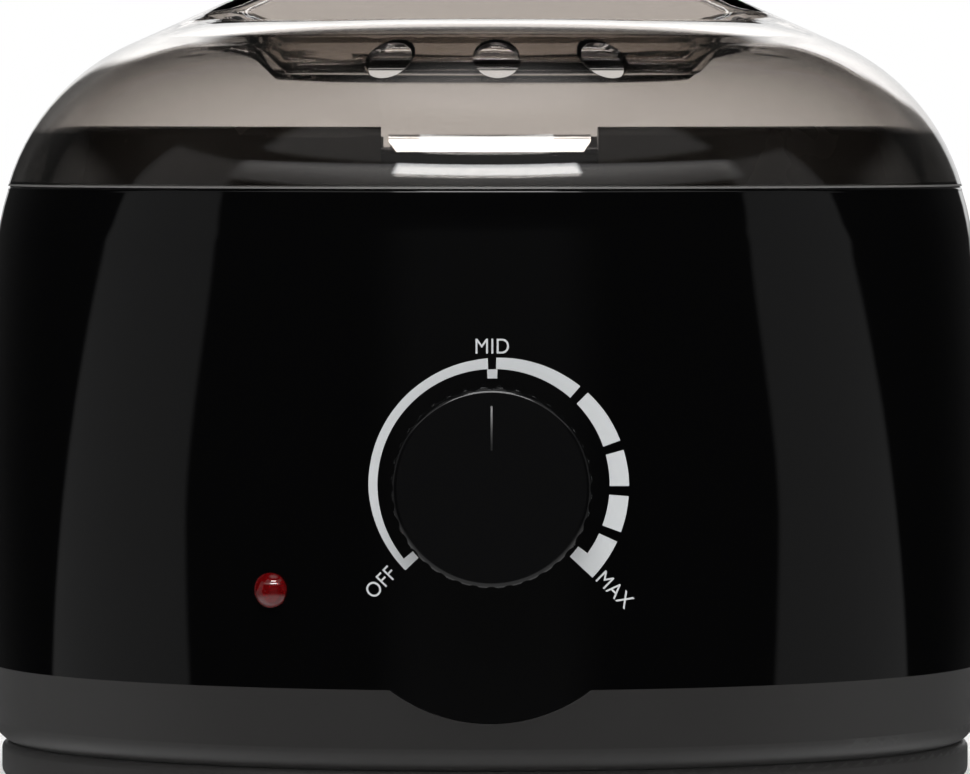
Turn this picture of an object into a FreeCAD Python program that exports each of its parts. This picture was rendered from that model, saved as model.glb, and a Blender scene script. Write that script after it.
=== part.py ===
"""Tabletop wax warmer: a barrel-shaped housing with a thermostat knob, a lift-out pot and a clear lid.

Frame: origin on the barrel's axis at the table, +Z up, the knob faces -Y. Millimetres.
"""
import FreeCAD, Part
import math
import os
import re
import Sketcher
from FreeCAD import Placement, Rotation, Vector

doc = FreeCAD.newDocument("wax_warmer")
sheet = doc.addObject("Spreadsheet::Sheet", "Sizes")

# ---------------------------------------------------------------- driving sizes
SIZES = [
    # stance and levels
    ("foot_height", 3.0, "rubber feet below the bottom cover"),
    ("cover_rim", 6.7, "bottom cover's rim, up to the groove"),
    ("ring_height", 14.1, "base ring, from the groove to the shell"),
    ("shell_height", 85.5, "shell, from the base ring to the lid"),
    # barrel
    ("side_room", 30.0, "barrel's belly outside the pot's wall"),
    ("belly_level", 52.0, "height of the belly"),
    ("belly_curve", 500.0, "radius of the barrel's long side curve"),
    ("shoulder_drop", 9.3, "shoulder's height below the lid"),
    ("shoulder_curve", 45.4, "radius of the shoulder's curve"),
    ("seam_inset", 4.2, "lid's foot inside the belly"),
    ("seam_edge", 0.8, "rounding of the shell's top edge"),
    ("shell_wall", 2.5, "shell moulding"),
    ("deck_wall", 2.5, "shell's top deck"),
    ("tongue_width", 34.0, "tongue at the shell's front bottom edge"),
    ("tongue_drop", 5.6, "tongue's drop into the base ring"),
    ("joint_gap", 0.15, "gap round the tongue, the lap joint and other fixed fits"),
    # base
    ("base_wall", 2.4, "base ring and bottom cover mouldings"),
    ("ring_inset", 3.9, "groove's inset from the belly on the ring's side"),
    ("ring_turn", 4.0, "radius of the ring's turn into the groove"),
    ("rim_inset", 3.0, "bottom cover's rim inside the belly"),
    ("rim_turn", 2.2, "rounding of the rim's lower edge"),
    ("rim_top_turn", 1.3, "rounding of the rim's upper edge"),
    ("spigot_inset", 1.6, "cover's spigot inside the ring's wall"),
    ("spigot_rise", 3.5, "cover's spigot above the groove"),
    ("lap_height", 3.0, "lap joint's lip above the seam"),
    ("lap_wall", 2.0, "lap joint's lip"),
    ("foot_radius", 8.0, "rubber foot"),
    ("foot_circle", 60.0, "feet's circle"),
    ("foot_stem", 2.6, "radius of the foot's stem"),
    ("slot_width", 2.4, "air slots in the floor"),
    ("slot_start", 17.0, "air slots' inner end"),
    ("slot_length", 21.0, "air slots' length"),
    ("slot_count", 20, "air slots"),
    # case screws and bosses
    ("boss_radius", 3.8, "screw boss"),
    ("boss_top", 62.0, "height of the boss's top"),
    ("rib_wall", 2.0, "rib from the boss to the shell"),
    ("screw_radius", 1.4, "screw's shank"),
    ("screw_head", 3.0, "radius of the screw's head"),
    ("head_height", 1.6, "height of the screw's head"),
    ("screw_bite", 11.0, "screw's length in its boss"),
    ("hole_gap", 0.25, "clearance hole round a screw"),
    # collar
    ("collar_height", 10.2, "collar above the shell's deck"),
    ("collar_inset", 5.8, "collar's foot inside the lid's foot"),
    ("collar_draft", 1.7, "draft of the collar's outer face"),
    ("collar_turn", 1.8, "rounding of the collar's top edges"),
    ("collar_land", 5.4, "collar's top land"),
    ("collar_wall", 2.0, "collar moulding"),
    ("seat_rise", 5.7, "pot's seat above the deck"),
    ("throat_gap", 1.5, "gap round the pot's flange"),
    ("spigot_drop", 6.3, "collar's spigot below the deck"),
    ("spigot_gap", 3.9, "gap between the pot's wall and the spigot"),
    ("notch_width", 37.0, "notch for a lifting tab"),
    ("notch_drop", 6.2, "notch's sill below the collar's top"),
    ("sill_drop", 2.0, "fall of the notch's sloping sill"),
    # pot
    ("pot_radius", 60.0, "pot's outer radius under its flange"),
    ("pot_draft", 2.0, "pot's draft in radius"),
    ("pot_depth", 65.0, "pot below its flange"),
    ("pot_wall", 1.2, "pot's sheet"),
    ("pot_corner", 7.0, "rounding of the pot's bottom corner"),
    ("flange_width", 7.5, "pot's flange"),
    ("tab_width", 34.4, "lifting tab at its bend"),
    ("tab_foot", 30.8, "lifting tab at its lower edge"),
    ("tab_reach", 9.1, "tab's bend outside the pot's flange"),
    ("tab_rise", 2.0, "tab's top above the pot's flange"),
    ("tab_lip", 3.1, "tab's turned-down lip"),
    ("tab_lean", 1.0, "outward lean of the lip"),
    ("tab_sheet", 1.2, "tab's sheet"),
    ("rivet_radius", 1.2, "tab rivet's shank"),
    ("rivet_head", 2.1, "radius of the tab rivet's head"),
    ("rivet_rise", 1.0, "height of the tab rivet's head"),
    ("rivet_spread", 18.0, "distance between a tab's rivets"),
    # heater
    ("cup_gap", 1.0, "air between the pot and the heater cup"),
    ("cup_wall", 1.2, "heater cup's sheet"),
    ("cup_floor_gap", 0.6, "air under the pot"),
    ("cup_corner", 5.0, "rounding of the cup's bottom corner"),
    ("cup_lip", 4.3, "cup's lip under the collar's spigot"),
    ("heater_radius", 45.0, "heater disc"),
    ("heater_height", 4.0, "heater disc's thickness"),
    ("clamp_radius", 40.0, "clamp plate"),
    ("clamp_sheet", 1.5, "clamp plate's sheet"),
    ("stud_radius", 3.0, "cup's central stud"),
    ("stud_length", 12.0, "cup's central stud below its floor"),
    ("nut_flat", 10.0, "stud nut across its flats"),
    ("nut_height", 4.0, "stud nut"),
    ("post_radius", 3.2, "standoff"),
    ("post_circle", 50.0, "standoffs' circle"),
    ("wool_wall", 4.5, "insulation sleeve"),
    ("wool_foot", 7.8, "insulation's lower edge above the cup's bottom"),
    ("wool_headroom", 3.0, "insulation's upper edge below the cup's top"),
    ("wool_window", 44.0, "gap in the insulation for the thermostat"),
    # thermostat and knob
    ("dial_level", 59.0, "height of the knob's axis"),
    ("plate_gap", 10.0, "bracket's front plate inside the belly"),
    ("bracket_sheet", 1.2, "bracket's sheet"),
    ("bracket_width", 40.0, "bracket's width"),
    ("bracket_height", 24.0, "bracket's height"),
    ("stat_width", 30.0, "thermostat body's width"),
    ("stat_height", 20.0, "thermostat body's height"),
    ("stat_depth", 13.0, "thermostat body's depth"),
    ("blade_width", 6.3, "thermostat's terminal blade"),
    ("blade_sheet", 0.8, "terminal blade's sheet"),
    ("blade_length", 8.0, "terminal blade below the body"),
    ("blade_spread", 16.0, "distance between the terminal blades"),
    ("bush_radius", 4.5, "threaded bush"),
    ("bush_length", 6.2, "bush in front of the thermostat body"),
    ("bush_root", 2.5, "bush inside the thermostat body"),
    ("bush_flat", 12.0, "bush nut across its flats"),
    ("bush_nut", 2.6, "bush nut's height"),
    ("shaft_radius", 3.0, "dial shaft"),
    ("shaft_root", 5.0, "shaft inside the thermostat body"),
    ("running_gap", 0.05, "running clearance round the shaft"),
    ("shaft_hole_gap", 1.2, "gap round the shaft in the shell"),
    ("knob_radius", 17.2, "knob's rim"),
    ("knob_gap", 0.8, "gap between the knob and the shell"),
    ("knob_depth", 15.2, "knob from back to front"),
    ("knob_draft", 0.2, "knob's draft in radius"),
    ("knob_turn", 1.2, "rounding of the knob's front edge"),
    ("knob_wall", 1.9, "knob moulding"),
    ("knob_hub", 5.2, "radius of the knob's hub"),
    ("knob_dish", 0.35, "dishing of the knob's face"),
    ("scallop_count", 36, "finger scallops round the rim"),
    ("scallop_radius", 2.0, "scallop cutter"),
    ("scallop_depth", 0.6, "depth of a scallop at the knob's back"),
    ("pointer_length", 7.6, "pointer line"),
    ("pointer_start", 6.3, "pointer line's inner end from the axis"),
    ("pointer_width", 0.5, "pointer line"),
    ("pointer_depth", 0.25, "pointer line's groove"),
    # lamp
    ("lamp_level", 40.6, "height of the lamp"),
    ("lamp_angle", 24.6, "lamp's angle left of the front, in degrees"),
    ("lens_radius", 3.0, "lamp lens"),
    ("lens_rise", 2.5, "lens in front of the shell"),
    ("lens_neck", 2.4, "lens's neck in the shell"),
    ("lens_tail", 6.0, "lens behind the shell"),
    ("lens_wall", 0.8, "lens's wall round the lamp"),
    ("lens_dome", 1.2, "depth of the lens's hollow dome"),
    ("clip_radius", 4.6, "push ring on the lens"),
    ("clip_sheet", 0.8, "push ring's sheet"),
    ("clip_gap", 0.3, "push ring's clearance behind the shell's curved wall"),
    ("neon_length", 11.0, "neon lamp"),
    ("neon_tip", 1.0, "height of the neon lamp's round tip"),
    # cord entry
    ("gland_level", 40.0, "height of the cord gland"),
    ("cord_radius", 3.4, "gland's bore for the mains cord"),
    ("gland_neck", 5.6, "gland in the shell's hole"),
    ("gland_flange", 8.0, "gland's outer flange"),
    ("gland_proud", 2.6, "gland outside the shell"),
    ("gland_tail", 9.0, "gland behind the shell"),
    ("clamp_post", 3.6, "cord clamp's posts"),
    ("clamp_spread", 18.0, "distance between the posts"),
    ("clamp_inset", 22.0, "cord clamp inside the belly"),
    ("clamp_level", 20.0, "height of the posts' tops"),
    ("clamp_depth", 8.0, "cord clamp's bar"),
    ("clamp_height", 5.0, "cord clamp's bar"),
    ("block_width", 34.0, "terminal block"),
    ("block_depth", 14.0, "terminal block"),
    ("block_height", 13.0, "terminal block"),
    ("block_place", 40.0, "terminal block behind the barrel's axis"),
    ("pole_pitch", 10.5, "terminal block's poles"),
    ("pole_screw", 2.6, "radius of a terminal block's screw"),
    # wiring
    ("lead_radius", 1.1, "insulated lead"),
    ("lamp_lead_radius", 0.75, "lamp's thin lead"),
    ("lead_bend", 4.0, "radius of a lead's bends"),
    ("sleeve_wall", 1.0, "push-on sleeve round a terminal blade"),
    ("sleeve_grip", 5.0, "blade's length inside its sleeve"),
    ("sleeve_tail", 6.0, "sleeve below its blade"),
    ("crimp_radius", 2.9, "crimp sleeve that joins leads"),
    ("crimp_length", 12.0, "crimp sleeve"),
    ("tag_sheet", 0.8, "earth tag's sheet"),
    ("tag_radius", 5.5, "earth tag's ring"),
    ("tag_length", 15.0, "earth tag from the stud's axis"),
    ("tag_width", 5.0, "earth tag's tail"),
    # thermal fuse
    ("fuse_radius", 2.0, "thermal fuse"),
    ("fuse_length", 14.0, "thermal fuse"),
    ("fuse_place", 24.0, "thermal fuse behind the barrel's axis"),
    ("fuse_sheet", 0.8, "fuse clip's sheet"),
    ("clip_width", 5.0, "fuse clip"),
    # lid
    ("lid_wall", 2.0, "lid moulding"),
    ("lid_curve", 39.6, "radius of the lid's side curve"),
    ("lid_rise", 25.4, "lid's side curve, in height"),
    ("lid_run", 21.8, "lid's side curve, in radius"),
    ("roof_slope", 24.0, "slope of the lid's roof, in degrees"),
    ("lid_height", 40.4, "lid from its foot to the top of its bar"),
    ("crest_inset", 33.8, "crest round the finger scoops, inside the lid's foot"),
    ("crest_turn", 15.0, "rounding of the crest"),
    ("flare_run", 9.0, "scoop's flare inside the crest"),
    ("flare_slope", 20.0, "slope of the scoop's flare, in degrees"),
    ("flare_turn", 4.0, "rounding between the flare and the steep wall"),
    ("scoop_slope", 53.3, "slope of the scoop's steep wall, in degrees"),
    ("dish_drop", 17.5, "scoop's floor below the bar's top"),
    ("dish_turn", 2.0, "fillet round the scoop's floor"),
    ("bar_foot", 14.0, "bar's half width at the scoop's floor"),
    ("bar_head", 11.6, "bar's half width at its top"),
    ("bar_turn", 4.0, "rounding of the bar's top edges"),
    ("bar_root", 3.0, "fillet at the bar's root"),
    ("vent_radius", 4.05, "vent hole"),
    ("vent_level", 131.35, "height of the vents' centres"),
    ("vent_angle", 15.6, "angle between the vents, in degrees"),
    ("vent_tilt", 12.0, "upward tilt of the vents, in degrees"),
]

for row, (word, number, note) in enumerate(SIZES, start=1):
    sheet.set(f"A{row}", str(number))
    sheet.setAlias(f"A{row}", word)
    sheet.set(f"B{row}", note)
doc.recompute()
WORDS = {word for word, number, note in SIZES}


# ---------------------------------------------------------------- helpers
def bound(formula):
    """A formula in plain size names, written as the sheet's expression."""
    return re.sub(r"[a-z_]+", lambda m: f"Sizes.{m[0]}" if m[0] in WORDS else m[0], str(formula))


def value(formula):
    """The number that a formula gives."""
    return float(sheet.evalExpression(bound(formula)))


def plane_of(body, role):
    return next(f for f in body.Origin.OriginFeatures if f.Role == role)


def draw(sketch, outline):
    """Draw a closed outline of (x, y) corners; (x, y, radius, turn) is reached by an arc."""
    corners = [Vector(value(c[0]), value(c[1]), 0) for c in outline]
    starts, ends = [], []
    for i, here in enumerate(corners):
        there = outline[(i + 1) % len(outline)]
        goal = corners[(i + 1) % len(corners)]
        if len(there) == 2:
            sketch.addGeometry(Part.LineSegment(here, goal))
            starts.append(1)
            ends.append(2)
            continue
        radius = value(there[2])
        chord = goal - here
        sideways = Vector(-chord.y, chord.x, 0).normalize()
        rise = math.sqrt(max(radius**2 - (chord.Length / 2) ** 2, 0.0))
        left = there[3] == "left"
        centre = (here + goal) * 0.5 + sideways * (rise if left else -rise)
        first, last = (here, goal) if left else (goal, here)
        begin = math.atan2(first.y - centre.y, first.x - centre.x)
        finish = math.atan2(last.y - centre.y, last.x - centre.x)
        finish += 2 * math.pi if finish <= begin else 0
        circle = Part.Circle(centre, Vector(0, 0, 1), radius)
        sketch.addGeometry(Part.ArcOfCircle(circle, begin, finish))
        starts.append(1 if left else 2)
        ends.append(2 if left else 1)
    for i, corner in enumerate(outline):
        after = (i + 1) % len(outline)
        sketch.addConstraint(Sketcher.Constraint("Coincident", i, ends[i], after, starts[after]))
        for kind, axis, formula in (("DistanceX", -2, corner[0]), ("DistanceY", -1, corner[1])):
            number = value(formula)
            if str(formula) == "0":
                sketch.addConstraint(Sketcher.Constraint("PointOnObject", i, starts[i], axis))
                continue
            at = sketch.addConstraint(Sketcher.Constraint(kind, -1, 1, i, starts[i], number))
            sketch.setExpression(f"Constraints[{at}]", bound(formula))
        if len(outline[after]) > 2:
            radius = value(outline[after][2])
            at = sketch.addConstraint(Sketcher.Constraint("Radius", i, radius))
            sketch.setExpression(f"Constraints[{at}]", bound(outline[after][2]))


def sketched(body, name, role, outline, lift=None):
    """A sketch on one of the body's own planes, lifted off it by a formula."""
    sketch = body.newObject("Sketcher::SketchObject", name)
    sketch.AttachmentSupport = [(plane_of(body, role), "")]
    sketch.MapMode = "FlatFace"
    if lift is not None:
        sketch.AttachmentOffset = Placement(Vector(0, 0, value(lift)), Rotation())
        sketch.setExpression("AttachmentOffset.Base.z", bound(lift))
    draw(sketch, outline)
    return sketch


def new_body(name, place=None):
    body = doc.addObject("PartDesign::Body", name)
    if place is not None:
        body.Placement = place
    return body


def turned(name, outline, place=None):
    """A body turned about its own Z axis; the outline's corners are (radius, height)."""
    body = new_body(name, place)
    sketch = sketched(body, name + "_outline", "XZ_Plane", outline)
    turn = body.newObject("PartDesign::Revolution", name + "_turn")
    turn.Profile = sketch
    turn.ReferenceAxis = (sketch, ["V_Axis"])
    turn.Angle = 360
    doc.recompute()
    return body


def padded(name, role, outline, length, lift=None, place=None, both_ways=False):
    """A body padded from an outline on one of its planes."""
    body = new_body(name, place)
    sketch = sketched(body, name + "_outline", role, outline, lift)
    pad = body.newObject("PartDesign::Pad", name + "_pad")
    pad.Profile = sketch
    pad.Length = value(length)
    pad.setExpression("Length", bound(length))
    pad.SideType = "Symmetric" if both_ways else "One side"
    doc.recompute()
    return body


def rectangle(half_width, low, high):
    return [(f"-({half_width})", low), (half_width, low), (half_width, high), (f"-({half_width})", high)]


def cylinder(name, radius, length, at=("0", "0", "0"), place=None):
    """A cylinder along its frame's Z axis, standing on the point at."""
    solid = doc.addObject("Part::Cylinder", name)
    solid.setExpression("Radius", bound(radius))
    solid.setExpression("Height", bound(length))
    offset = Placement(Vector(*[value(c) for c in at]), Rotation())
    solid.Placement = (place or Placement()).multiply(offset)
    return solid


def box(name, size, at, place=None):
    """A box centred on the point at in x and y, and standing on it."""
    solid = doc.addObject("Part::Box", name)
    for key, formula in zip(("Length", "Width", "Height"), size):
        solid.setExpression(key, bound(formula))
    corner = Vector(value(f"{at[0]} - ({size[0]})/2"), value(f"{at[1]} - ({size[1]})/2"), value(at[2]))
    solid.Placement = (place or Placement()).multiply(Placement(corner, Rotation()))
    return solid


def cap_radius(half, rise):
    """The radius of a round cap, from its half width and its rise."""
    return f"((({half})^2 + ({rise})^2)/(2*({rise})))"


def hexagon(name, flat, length, at, place=None):
    solid = doc.addObject("Part::Prism", name)
    solid.Polygon = 6
    solid.setExpression("Circumradius", bound(f"({flat})/sqrt(3)"))
    solid.setExpression("Height", bound(length))
    offset = Placement(Vector(*[value(c) for c in at]), Rotation())
    solid.Placement = (place or Placement()).multiply(offset)
    return solid


def fuse(name, *pieces):
    result = doc.addObject("Part::MultiFuse", name)
    result.Shapes = list(pieces)
    result.Refine = True
    doc.recompute()
    return result


def cut(name, base, *tools):
    """The base less every tool."""
    result = doc.addObject("Part::Cut", name)
    result.Base = base
    result.Tool = tools[0] if len(tools) == 1 else together(name + "_tools", tools)
    result.Refine = True
    doc.recompute()
    return result


def common(name, base, tool):
    result = doc.addObject("Part::Common", name)
    result.Base = base
    result.Tool = tool
    result.Refine = True
    doc.recompute()
    return result


def together(name, pieces):
    """A group of separate solids in one object."""
    group = doc.addObject("Part::Compound", name)
    group.Links = list(pieces)
    doc.recompute()
    return group


def about_z(angle, place=None):
    """The frame turned about the barrel's axis, in degrees."""
    return Placement(Vector(), Rotation(Vector(0, 0, 1), angle)).multiply(place or Placement())


def ring_of(name, make, angles):
    """One copy of make(name, place) at each angle about the barrel's axis, as one group."""
    return together(name, [make(f"{name}_{n}", about_z(a)) for n, a in enumerate(angles)])


nodes = {}


def keep(name, piece):
    """Give a finished piece the label that names its file."""
    piece.Label = name
    nodes[name] = piece
    return piece


# levels and radii that several pieces share
GROOVE = "(foot_height + cover_rim)"
BASE_SEAM = f"({GROOVE} + ring_height)"
SEAM = f"({BASE_SEAM} + shell_height)"
SHOULDER = f"({SEAM} - shoulder_drop)"
BELLY = "(pot_radius + side_room)"
RIM = f"({BELLY} - rim_inset)"
PLATE = f"({BELLY} - plate_gap)"
CLAMP_LINE = f"({BELLY} - clamp_inset)"
SEAM_RADIUS = f"({BELLY} - seam_inset)"
FLOOR_TOP = "(foot_height + base_wall)"
SEAT = f"({SEAM} + seat_rise)"
COLLAR_TOP = f"({SEAM} + collar_height)"
SPIGOT_FOOT = f"({SEAM} - spigot_drop)"
SPIGOT_INNER = "(pot_radius + spigot_gap)"
SPIGOT_OUTER = f"({SPIGOT_INNER} + collar_wall)"
DECK_HOLE = f"({SPIGOT_OUTER} + joint_gap)"
CUP_INNER = "(pot_radius + cup_gap)"
CUP_OUTER = f"({CUP_INNER} + cup_wall)"
POT_BOTTOM = f"({SEAT} - pot_depth)"
CUP_BOTTOM = f"({POT_BOTTOM} - cup_floor_gap - cup_wall)"

SPIGOT_RIM = f"({RIM} - base_wall - spigot_inset)"
BOSS_CIRCLE = f"({SPIGOT_RIM} - base_wall - boss_radius - 2*joint_gap)"

CORNERS = (45, 135, 225, 315)
THIRDS = (30, 150, 270)
FACING_FRONT = Placement(Vector(0, 0, value("dial_level")), Rotation(Vector(1, 0, 0), 90))
FACING_REAR = Placement(Vector(0, 0, value("gland_level")), Rotation(Vector(1, 0, 0), -90))
AT_LAMP = Placement(Vector(0, 0, value("lamp_level")), Rotation(Vector(1, 0, 0), 90))
AT_LAMP = about_z(-value("lamp_angle"), AT_LAMP)


def barrel(level, depth="0"):
    """The barrel's radius at a level, at a depth under its outer face."""
    curve = f"belly_curve + sqrt(belly_curve^2 - ({level} - belly_level)^2)"
    return f"({BELLY} - {curve} - {depth})"


# ---------------------------------------------------------------- upper shell
TONGUE_FOOT = f"({BASE_SEAM} - tongue_drop)"
TONGUE_CURVE = "((tongue_width^2/4 + tongue_drop^2)/(2*tongue_drop))"


def tongue_disc(name, grow):
    """The round disc, facing front, whose lowest part is the shell's tongue."""
    level = Placement(Vector(0, 0, value(f"{TONGUE_FOOT} + {TONGUE_CURVE}")), FACING_FRONT.Rotation)
    return cylinder(name, f"{TONGUE_CURVE} + {grow}", f"{BELLY} + 5", place=level)


shell_wall_all = turned("shell_wall_all", [
    (barrel(TONGUE_FOOT), TONGUE_FOOT),
    (barrel(SHOULDER), SHOULDER, "belly_curve", "left"),
    (SEAM_RADIUS, f"{SEAM} - seam_edge", "shoulder_curve", "left"),
    (f"{SEAM_RADIUS} - seam_edge", SEAM, "seam_edge", "left"),
    (DECK_HOLE, SEAM),
    (DECK_HOLE, f"{SEAM} - deck_wall"),
    (f"{SEAM_RADIUS} - shell_wall", f"{SEAM} - deck_wall"),
    (barrel(SHOULDER, "shell_wall"), SHOULDER, "shoulder_curve - shell_wall", "right"),
    (barrel(TONGUE_FOOT, "shell_wall"), TONGUE_FOOT, "belly_curve - shell_wall", "right"),
])
below_at = ("0", "0", f"{TONGUE_FOOT} - 1")
below_seam = cylinder("below_seam", f"{BELLY} + 5", "tongue_drop + 1", below_at)
seam_cutter = cut("seam_cutter", below_seam, tongue_disc("shell_tongue", "0"))


def shell_boss(name, place):
    """A screw boss that stands on the floor, with a rib to the shell's wall."""
    length = f"boss_top - {FLOOR_TOP}"
    column = cylinder(name + "_column", "boss_radius", length, (BOSS_CIRCLE, "0", FLOOR_TOP), place)
    rib_foot = f"({BASE_SEAM} + lap_height + 1)"
    reach = f"({barrel('boss_top', 'shell_wall/2')} - {BOSS_CIRCLE})"
    rib_at = (f"{BOSS_CIRCLE} + {reach}/2", "0", rib_foot)
    rib = box(name + "_rib", (reach, "rib_wall", f"boss_top - {rib_foot}"), rib_at, place)
    return fuse(name, column, rib)


def screw_bore(name, place):
    return cylinder(name, "screw_radius", "screw_bite + 1.5", (BOSS_CIRCLE, "0", FLOOR_TOP), place)


COLLAR_SCREWS = f"(({SPIGOT_OUTER} + {SEAM_RADIUS} - collar_inset)/2 + 0.6)"


def deck_hole(name, place):
    radius = "screw_radius + hole_gap"
    return cylinder(name, radius, "deck_wall + 2", (COLLAR_SCREWS, "0", f"{SEAM} - deck_wall - 1"), place)


BEHIND_WALL = ("0", "0", f"{BELLY} - 12")
dial_hole = cylinder("dial_hole", "shaft_radius + shaft_hole_gap", "20", BEHIND_WALL, FACING_FRONT)
lamp_hole = cylinder("lamp_hole", "lens_neck + joint_gap", "20", BEHIND_WALL, AT_LAMP)
gland_hole = cylinder("gland_hole", "gland_neck", "20", BEHIND_WALL, FACING_REAR)

shell_bosses = [shell_boss(f"shell_boss_{a}", about_z(a)) for a in CORNERS]
shell_plain = fuse("shell_plain", cut("shell_skin", shell_wall_all, seam_cutter), *shell_bosses)
upper_shell = keep("upper_shell", cut(
    "upper_shell", shell_plain, dial_hole, lamp_hole, gland_hole,
    ring_of("boss_bores", screw_bore, CORNERS), ring_of("deck_holes", deck_hole, CORNERS),
))

# ---------------------------------------------------------------- base ring
RING_FOOT = f"({BELLY} - ring_inset)"
RING_TURN_TOP = f"({GROOVE} + ring_turn)"
LAP_OUTER = barrel(BASE_SEAM, "(shell_wall + joint_gap)")
LAP_INNER = barrel(BASE_SEAM, "(shell_wall + joint_gap + lap_wall)")

ring_whole = turned("ring_whole", [
    (f"{SPIGOT_RIM} + joint_gap", GROOVE),
    (f"{RING_FOOT} - 0.8", GROOVE),
    (barrel(RING_TURN_TOP), RING_TURN_TOP, "ring_turn + 0.9", "left"),
    (barrel(BASE_SEAM), BASE_SEAM, "belly_curve", "left"),
    (LAP_OUTER, BASE_SEAM),
    (LAP_OUTER, f"{BASE_SEAM} + lap_height"),
    (LAP_INNER, f"{BASE_SEAM} + lap_height"),
    (LAP_INNER, f"{TONGUE_FOOT} - 2"),
    (f"{SPIGOT_RIM} + joint_gap", f"{TONGUE_FOOT} - 3.5"),
])
recess_ring = cut(
    "recess_ring",
    tongue_disc("recess_disc", "joint_gap"),
    cylinder("recess_core", barrel(TONGUE_FOOT, "(shell_wall + joint_gap)"), "100"),
)
base_ring = keep("base_ring", cut("base_ring", ring_whole, recess_ring))

# ---------------------------------------------------------------- bottom cover
cover_plain = turned("cover_plain", [
    ("0", "foot_height"),
    (f"{RIM} - rim_turn", "foot_height"),
    (RIM, "foot_height + rim_turn", "rim_turn", "left"),
    (RIM, f"{GROOVE} - rim_top_turn"),
    (f"{RIM} - rim_top_turn", GROOVE, "rim_top_turn", "left"),
    (SPIGOT_RIM, GROOVE),
    (SPIGOT_RIM, f"{GROOVE} + spigot_rise"),
    (f"{SPIGOT_RIM} - base_wall", f"{GROOVE} + spigot_rise"),
    (f"{SPIGOT_RIM} - base_wall", FLOOR_TOP),
    ("0", FLOOR_TOP),
])

CLAMP_POSTS = [(f"{side}*clamp_spread/2", CLAMP_LINE) for side in (-1, 1)]
clamp_posts = [
    cylinder(f"clamp_post_{n}", "clamp_post", f"clamp_level - {FLOOR_TOP}", (*at, FLOOR_TOP))
    for n, at in enumerate(CLAMP_POSTS)
]


def air_slots():
    """Slots that fan out round the floor's middle."""
    body = new_body("air_slots")
    end = "slot_start + slot_length"
    outline = [
        ("slot_start", "-slot_width/2"),
        (end, "-slot_width/2"),
        (end, "slot_width/2", "slot_width/2 + 0.001", "left"),
        ("slot_start", "slot_width/2"),
    ]
    sketch = sketched(body, "slot_outline", "XY_Plane", outline, "foot_height - 1")
    pad = body.newObject("PartDesign::Pad", "slot_pad")
    pad.Profile = sketch
    pad.setExpression("Length", bound("base_wall + 2"))
    doc.recompute()
    fan = body.newObject("PartDesign::PolarPattern", "slot_fan")
    fan.Originals = [pad]
    fan.Axis = (plane_of(body, "Z_Axis"), [""])
    fan.Angle = 360
    fan.setExpression("Occurrences", bound("slot_count"))
    body.Tip = fan
    doc.recompute()
    return body


def floor_hole(name, circle, place):
    """A clearance hole with a counterbore for a screw's head."""
    at = (circle, "0", "foot_height - 1")
    shank = cylinder(name + "_shank", "screw_radius + hole_gap", "base_wall + 2", at, place)
    head = cylinder(name + "_head", "screw_head + hole_gap", "head_height + 1.1", at, place)
    return fuse(name, shank, head)


def case_hole(name, place):
    return floor_hole(name, BOSS_CIRCLE, place)


def post_hole(name, place):
    return floor_hole(name, "post_circle", place)


def stem_hole(name, place):
    return cylinder(name, "foot_stem", "base_wall + 2", ("foot_circle", "0", "foot_height - 1"), place)


clamp_bores = [
    cylinder(f"clamp_bore_{n}", "screw_radius", "9", (*at, "clamp_level - 9"))
    for n, at in enumerate(CLAMP_POSTS)
]
bottom_cover = keep("bottom_cover", cut(
    "bottom_cover", fuse("cover_with_posts", cover_plain, *clamp_posts), air_slots(),
    ring_of("case_holes", case_hole, CORNERS), ring_of("post_holes", post_hole, THIRDS),
    ring_of("stem_holes", stem_hole, CORNERS), *clamp_bores,
))


def foot(name, place):
    """A rubber foot whose stem is pushed up through the floor."""
    at = place.multiply(Placement(Vector(value("foot_circle"), 0, 0), Rotation()))
    return turned(name, [
        ("0", "0"),
        ("foot_radius - 0.8", "0"),
        ("foot_radius", "0.8", "0.8", "left"),
        ("foot_radius - 0.5", "foot_height"),
        ("foot_stem", "foot_height"),
        ("foot_stem", FLOOR_TOP),
        ("foot_stem + 0.7", FLOOR_TOP),
        ("foot_stem - 0.6", f"{FLOOR_TOP} + 2.6"),
        ("0", f"{FLOOR_TOP} + 2.6"),
    ], at)


keep("rubber_feet", ring_of("rubber_feet", foot, CORNERS))


def screw(name, circle, head_foot, length, place):
    """A pan-head screw that points up."""
    shank_at = (circle, "0", f"{head_foot} + head_height")
    shank = cylinder(name + "_shank", "screw_radius", length, shank_at, place)
    head = cylinder(name + "_head", "screw_head", "head_height", (circle, "0", head_foot), place)
    return fuse(name, shank, head)


FLOOR_SCREW = "base_wall - head_height - 0.1 + screw_bite"


def case_screw(name, place):
    return screw(name, BOSS_CIRCLE, "foot_height + 0.1", FLOOR_SCREW, place)


def post_screw(name, place):
    return screw(name, "post_circle", "foot_height + 0.1", FLOOR_SCREW, place)


def collar_screw(name, place):
    length = "deck_wall + collar_height - collar_wall - 1.5"
    return screw(name, COLLAR_SCREWS, f"{SEAM} - deck_wall - head_height", length, place)


keep("case_screws", ring_of("case_screws", case_screw, CORNERS))
keep("standoff_screws", ring_of("standoff_screws", post_screw, THIRDS))
keep("collar_screws", ring_of("collar_screws", collar_screw, CORNERS))

# ---------------------------------------------------------------- pot collar
COLLAR_FOOT = f"({SEAM_RADIUS} - collar_inset)"
COLLAR_HEAD = f"({COLLAR_FOOT} - collar_draft)"
LAND_OUTER = f"({COLLAR_HEAD} - collar_turn)"
LAND_INNER = f"({LAND_OUTER} - collar_land)"
THROAT = "(pot_radius + flange_width + throat_gap)"
CORE_TOP = f"({COLLAR_TOP} - collar_wall)"
SEAT_UNDER = f"({SEAT} - collar_wall)"


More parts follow.
